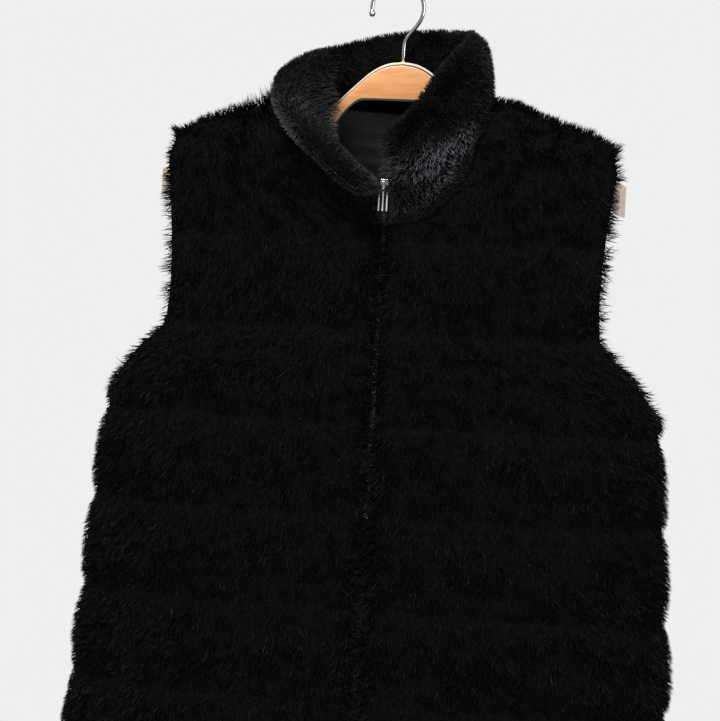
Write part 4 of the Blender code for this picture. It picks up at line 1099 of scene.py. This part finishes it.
def hangerPly(name, lower, yFrom, yTo, node, faceMade, topMade):
    # the plate follows y = -forward * (x / halfWidth)^2; its section is a rectangle with rounded corners
    x = hanger["halfWidth"] * np.linspace(-1, 1, hanger["stations"])
    top = hanger["top"] - readTable(hanger["edges"], 1, np.abs(x)) - lower
    bottom = hanger["top"] - readTable(hanger["edges"], 2, np.abs(x))
    slope = -2 * hanger["forward"] * x / hanger["halfWidth"] ** 2
    across = unit(np.stack([-slope, np.ones_like(x), 0 * x], axis=-1))
    middle = np.stack([x, armY(x), 0 * x], axis=-1)
    front, rear = (hanger[key] for key in (("bevel", "glueBevel") if lower else ("glueBevel", "bevel")))
    turn = np.radians(np.linspace(0, 90, 5))
    profile = [
        (y + sign * bevel * (1 - math.cos(angle)), rise * bevel * (1 - math.sin(angle)), edge)
        for y, sign, bevel, rise, edge, angles in (
            (yFrom, 1, front, -1, top, turn), (yTo, -1, rear, -1, top, turn[::-1]),
            (yTo, -1, rear, 1, bottom, turn), (yFrom, 1, front, 1, bottom, turn[::-1]),
        ) for angle in angles
    ]
    shadowStarts = len(profile) * (len(x) - 1)
    if not lower:
        # a painted shadow: a dark line on the back ply, just over the front ply's top edge
        profile += [(yFrom, -hanger["shadowFrom"], top), (yFrom, -hanger["shadowTo"], top)]
    rings = [middle + across * y + np.stack([0 * x, 0 * x, edge + rise], axis=-1) for y, rise, edge in profile]
    piece = tube(name, np.stack(rings, axis=1))
    piece.data.set_sharp_from_angle(angle=math.radians(50))
    dress(piece, [faceMade, finish["paleWood"], finish["endWood"], topMade, finish["paintedShadowWood"]])
    facing, centre = np.empty((2, len(piece.data.polygons) * 3), np.float32)
    piece.data.polygons.foreach_get("normal", facing)
    piece.data.polygons.foreach_get("center", centre)
    slot = np.where(np.abs(facing[2::3]) > 0.22, 1, 0)
    slot = np.where((facing[2::3] > 0.55) & (np.abs(facing[1::3]) < 0.12), 3, slot)
    if not lower:
        slot[shadowStarts:shadowStarts + len(x) - 1] = 4
    # the tips of the arms are bare cut wood
    slot = np.where(np.abs(centre[0::3]) > hanger["bareFrom"], 2, slot)
    piece.data.polygons.foreach_set("material_index", slot.astype(np.int32))
    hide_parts(node)


def hangerHook():
    # a round wire along a bend and an arc, then a ball: ring centre + ring * (cos, sin)
    centre = np.array([hanger["shift"], hanger["wire"] - hanger["ring"]])
    turn = np.radians(np.linspace(hanger["fromDeg"], hanger["toDeg"], 70))
    ring = centre + hanger["ring"] * np.stack([np.cos(turn), np.sin(turn)], axis=-1)
    foot = np.array([0.0, hanger["neckTop"]])
    reach = hanger["ring"] / 2
    down = np.array([math.sin(turn[0]), -math.cos(turn[0])])
    t = np.linspace(0, 1, 20)[:-1, None]
    bend = (1 - t) ** 3 * foot + 3 * (1 - t) ** 2 * t * (foot + (0, reach))
    bend = bend + 3 * (1 - t) * t**2 * (ring[0] + down * reach) + t**3 * ring[0]
    path = np.concatenate([[[0.0, hanger["top"] - 0.001]], [[0.0, hanger["top"] + 0.004]], bend, ring])
    tangent = along(path, 0)
    side = np.stack([-tangent[:, 1], tangent[:, 0]], axis=-1)
    angle = np.linspace(0, 2 * math.pi, 20, endpoint=False)
    flat = path[:, None] + side[:, None] * (hanger["wire"] * np.cos(angle))[None, :, None]
    y = np.broadcast_to(hanger["wire"] * np.sin(angle), flat.shape[:2])
    rings = np.stack([flat[..., 0], y, flat[..., 1]], axis=-1)
    tip = np.array([path[-1, 0], 0, path[-1, 1]])
    heading = np.array([tangent[-1, 0], 0, tangent[-1, 1]])
    around = unit(rings[-1] - tip)
    ball = [
        tip + heading * hanger["ball"] * (0.8 + math.sin(lift)) + around * hanger["ball"] * math.cos(lift)
        for lift in np.radians(np.linspace(-50, 86, 14))
    ]
    piece = tube("hangerHook", np.concatenate([rings, np.array(ball)]))
    dress(piece, finish["steel"])
    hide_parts("hanger_hook")


halfGap = body["seamGap"] / 2
hangerPly("hangerBack", 0.0, halfGap, hanger["ply"], "hanger_back_ply", finish["paleWood"], finish["paleWood"])
# the front ply's flat top takes the painted shadow
hangerPly("hangerFront", hanger["frontLower"], -hanger["ply"], -halfGap, "hanger_front_ply",
          finish["orangeWood"], finish["paintedShadowWood"])
hangerHook()
print("hanger made")

studio = {
    "floorHalf": 1.9, "floorLevel": -1.25, "wall": (0.862, 0.862, 0.864), "wallLights": 0.3,
    # place, aim, width and height, power, colour
    "lights": {
        "keyLight": ((-0.35, -1.25, 0.95), (0.0, -0.05, -0.15), (0.7, 0.5), 31, (0.97, 0.98, 1.0)),
        "sideLight": ((1.5, -0.9, 0.35), (0.1, 0.0, -0.35), (0.6, 1.0), 9, (0.95, 0.97, 1.0)),
        "frontLight": ((0.15, -1.45, -0.55), (-0.02, 0.0, -0.2), (0.8, 0.5), 3.2, (1.0, 0.99, 0.97)),
    },
}
view = {
    "lens": 82.5, "distance": 1.55, "azimuthDeg": 8.0, "rollDeg": 3.3, "target": (-0.0195, -0.04, -0.363),
}
half = studio["floorHalf"]
floorCorners = [(x * half, y * half, studio["floorLevel"]) for x, y in ((-1, -1), (1, -1), (1, 1), (-1, 1))]
ground = newMesh("floor", floorCorners, [(0, 1, 2, 3)])
ground.data.materials.append(newFinish("pale floor", Base_Color=(0.8, 0.81, 0.83), Roughness=0.85)[0])
ground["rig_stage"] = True

scene = bpy.context.scene
scene.view_settings.view_transform = "Standard"
world = bpy.data.worlds.new("studio")
scene.world = world
world.use_nodes = True
# the pale surroundings are seen at full strength and light the piece more gently
seen = addNode(world.node_tree, "LightPath").outputs["Is Camera Ray"]
strength = remap(world.node_tree, seen, studio["wallLights"], 1.0)
setInputs(world.node_tree, world.node_tree.nodes["Background"], {"Color": studio["wall"], "Strength": strength})
for name, (place, aim, size, power, colour) in studio["lights"].items():
    lamp = bpy.data.lights.new(name, "AREA")
    lamp.shape, lamp.size, lamp.size_y = "RECTANGLE", size[0], size[1]
    lamp.energy, lamp.color = power, colour
    holder = bpy.data.objects.new(name, lamp)
    holder.location = place
    holder.rotation_euler = (Vector(aim) - Vector(place)).to_track_quat("-Z", "Y").to_euler()
    scene.collection.objects.link(holder)

azimuth, roll = math.radians(view["azimuthDeg"]), math.radians(view["rollDeg"])
away = Vector((math.sin(azimuth), -math.cos(azimuth), 0))
level = Vector((math.cos(azimuth), math.sin(azimuth), 0))
upright = Vector((0, 0, 1))
cameraRight = level * math.cos(roll) + upright * math.sin(roll)
cameraUp = upright * math.cos(roll) - level * math.sin(roll)
lens = bpy.data.cameras.new("camera")
lens.lens = view["lens"]
lens.clip_start = 0.05
camera = bpy.data.objects.new("camera", lens)
turned = Matrix((cameraRight, cameraUp, away)).transposed().to_4x4()
camera.matrix_world = Matrix.Translation(Vector(view["target"]) + away * view["distance"]) @ turned
scene.collection.objects.link(camera)
scene.camera = camera
print("lights and camera set")

triangles = sum(sum(len(p.vertices) - 2 for p in o.data.polygons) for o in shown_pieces() if "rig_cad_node" not in o)
print("triangles added:", triangles)
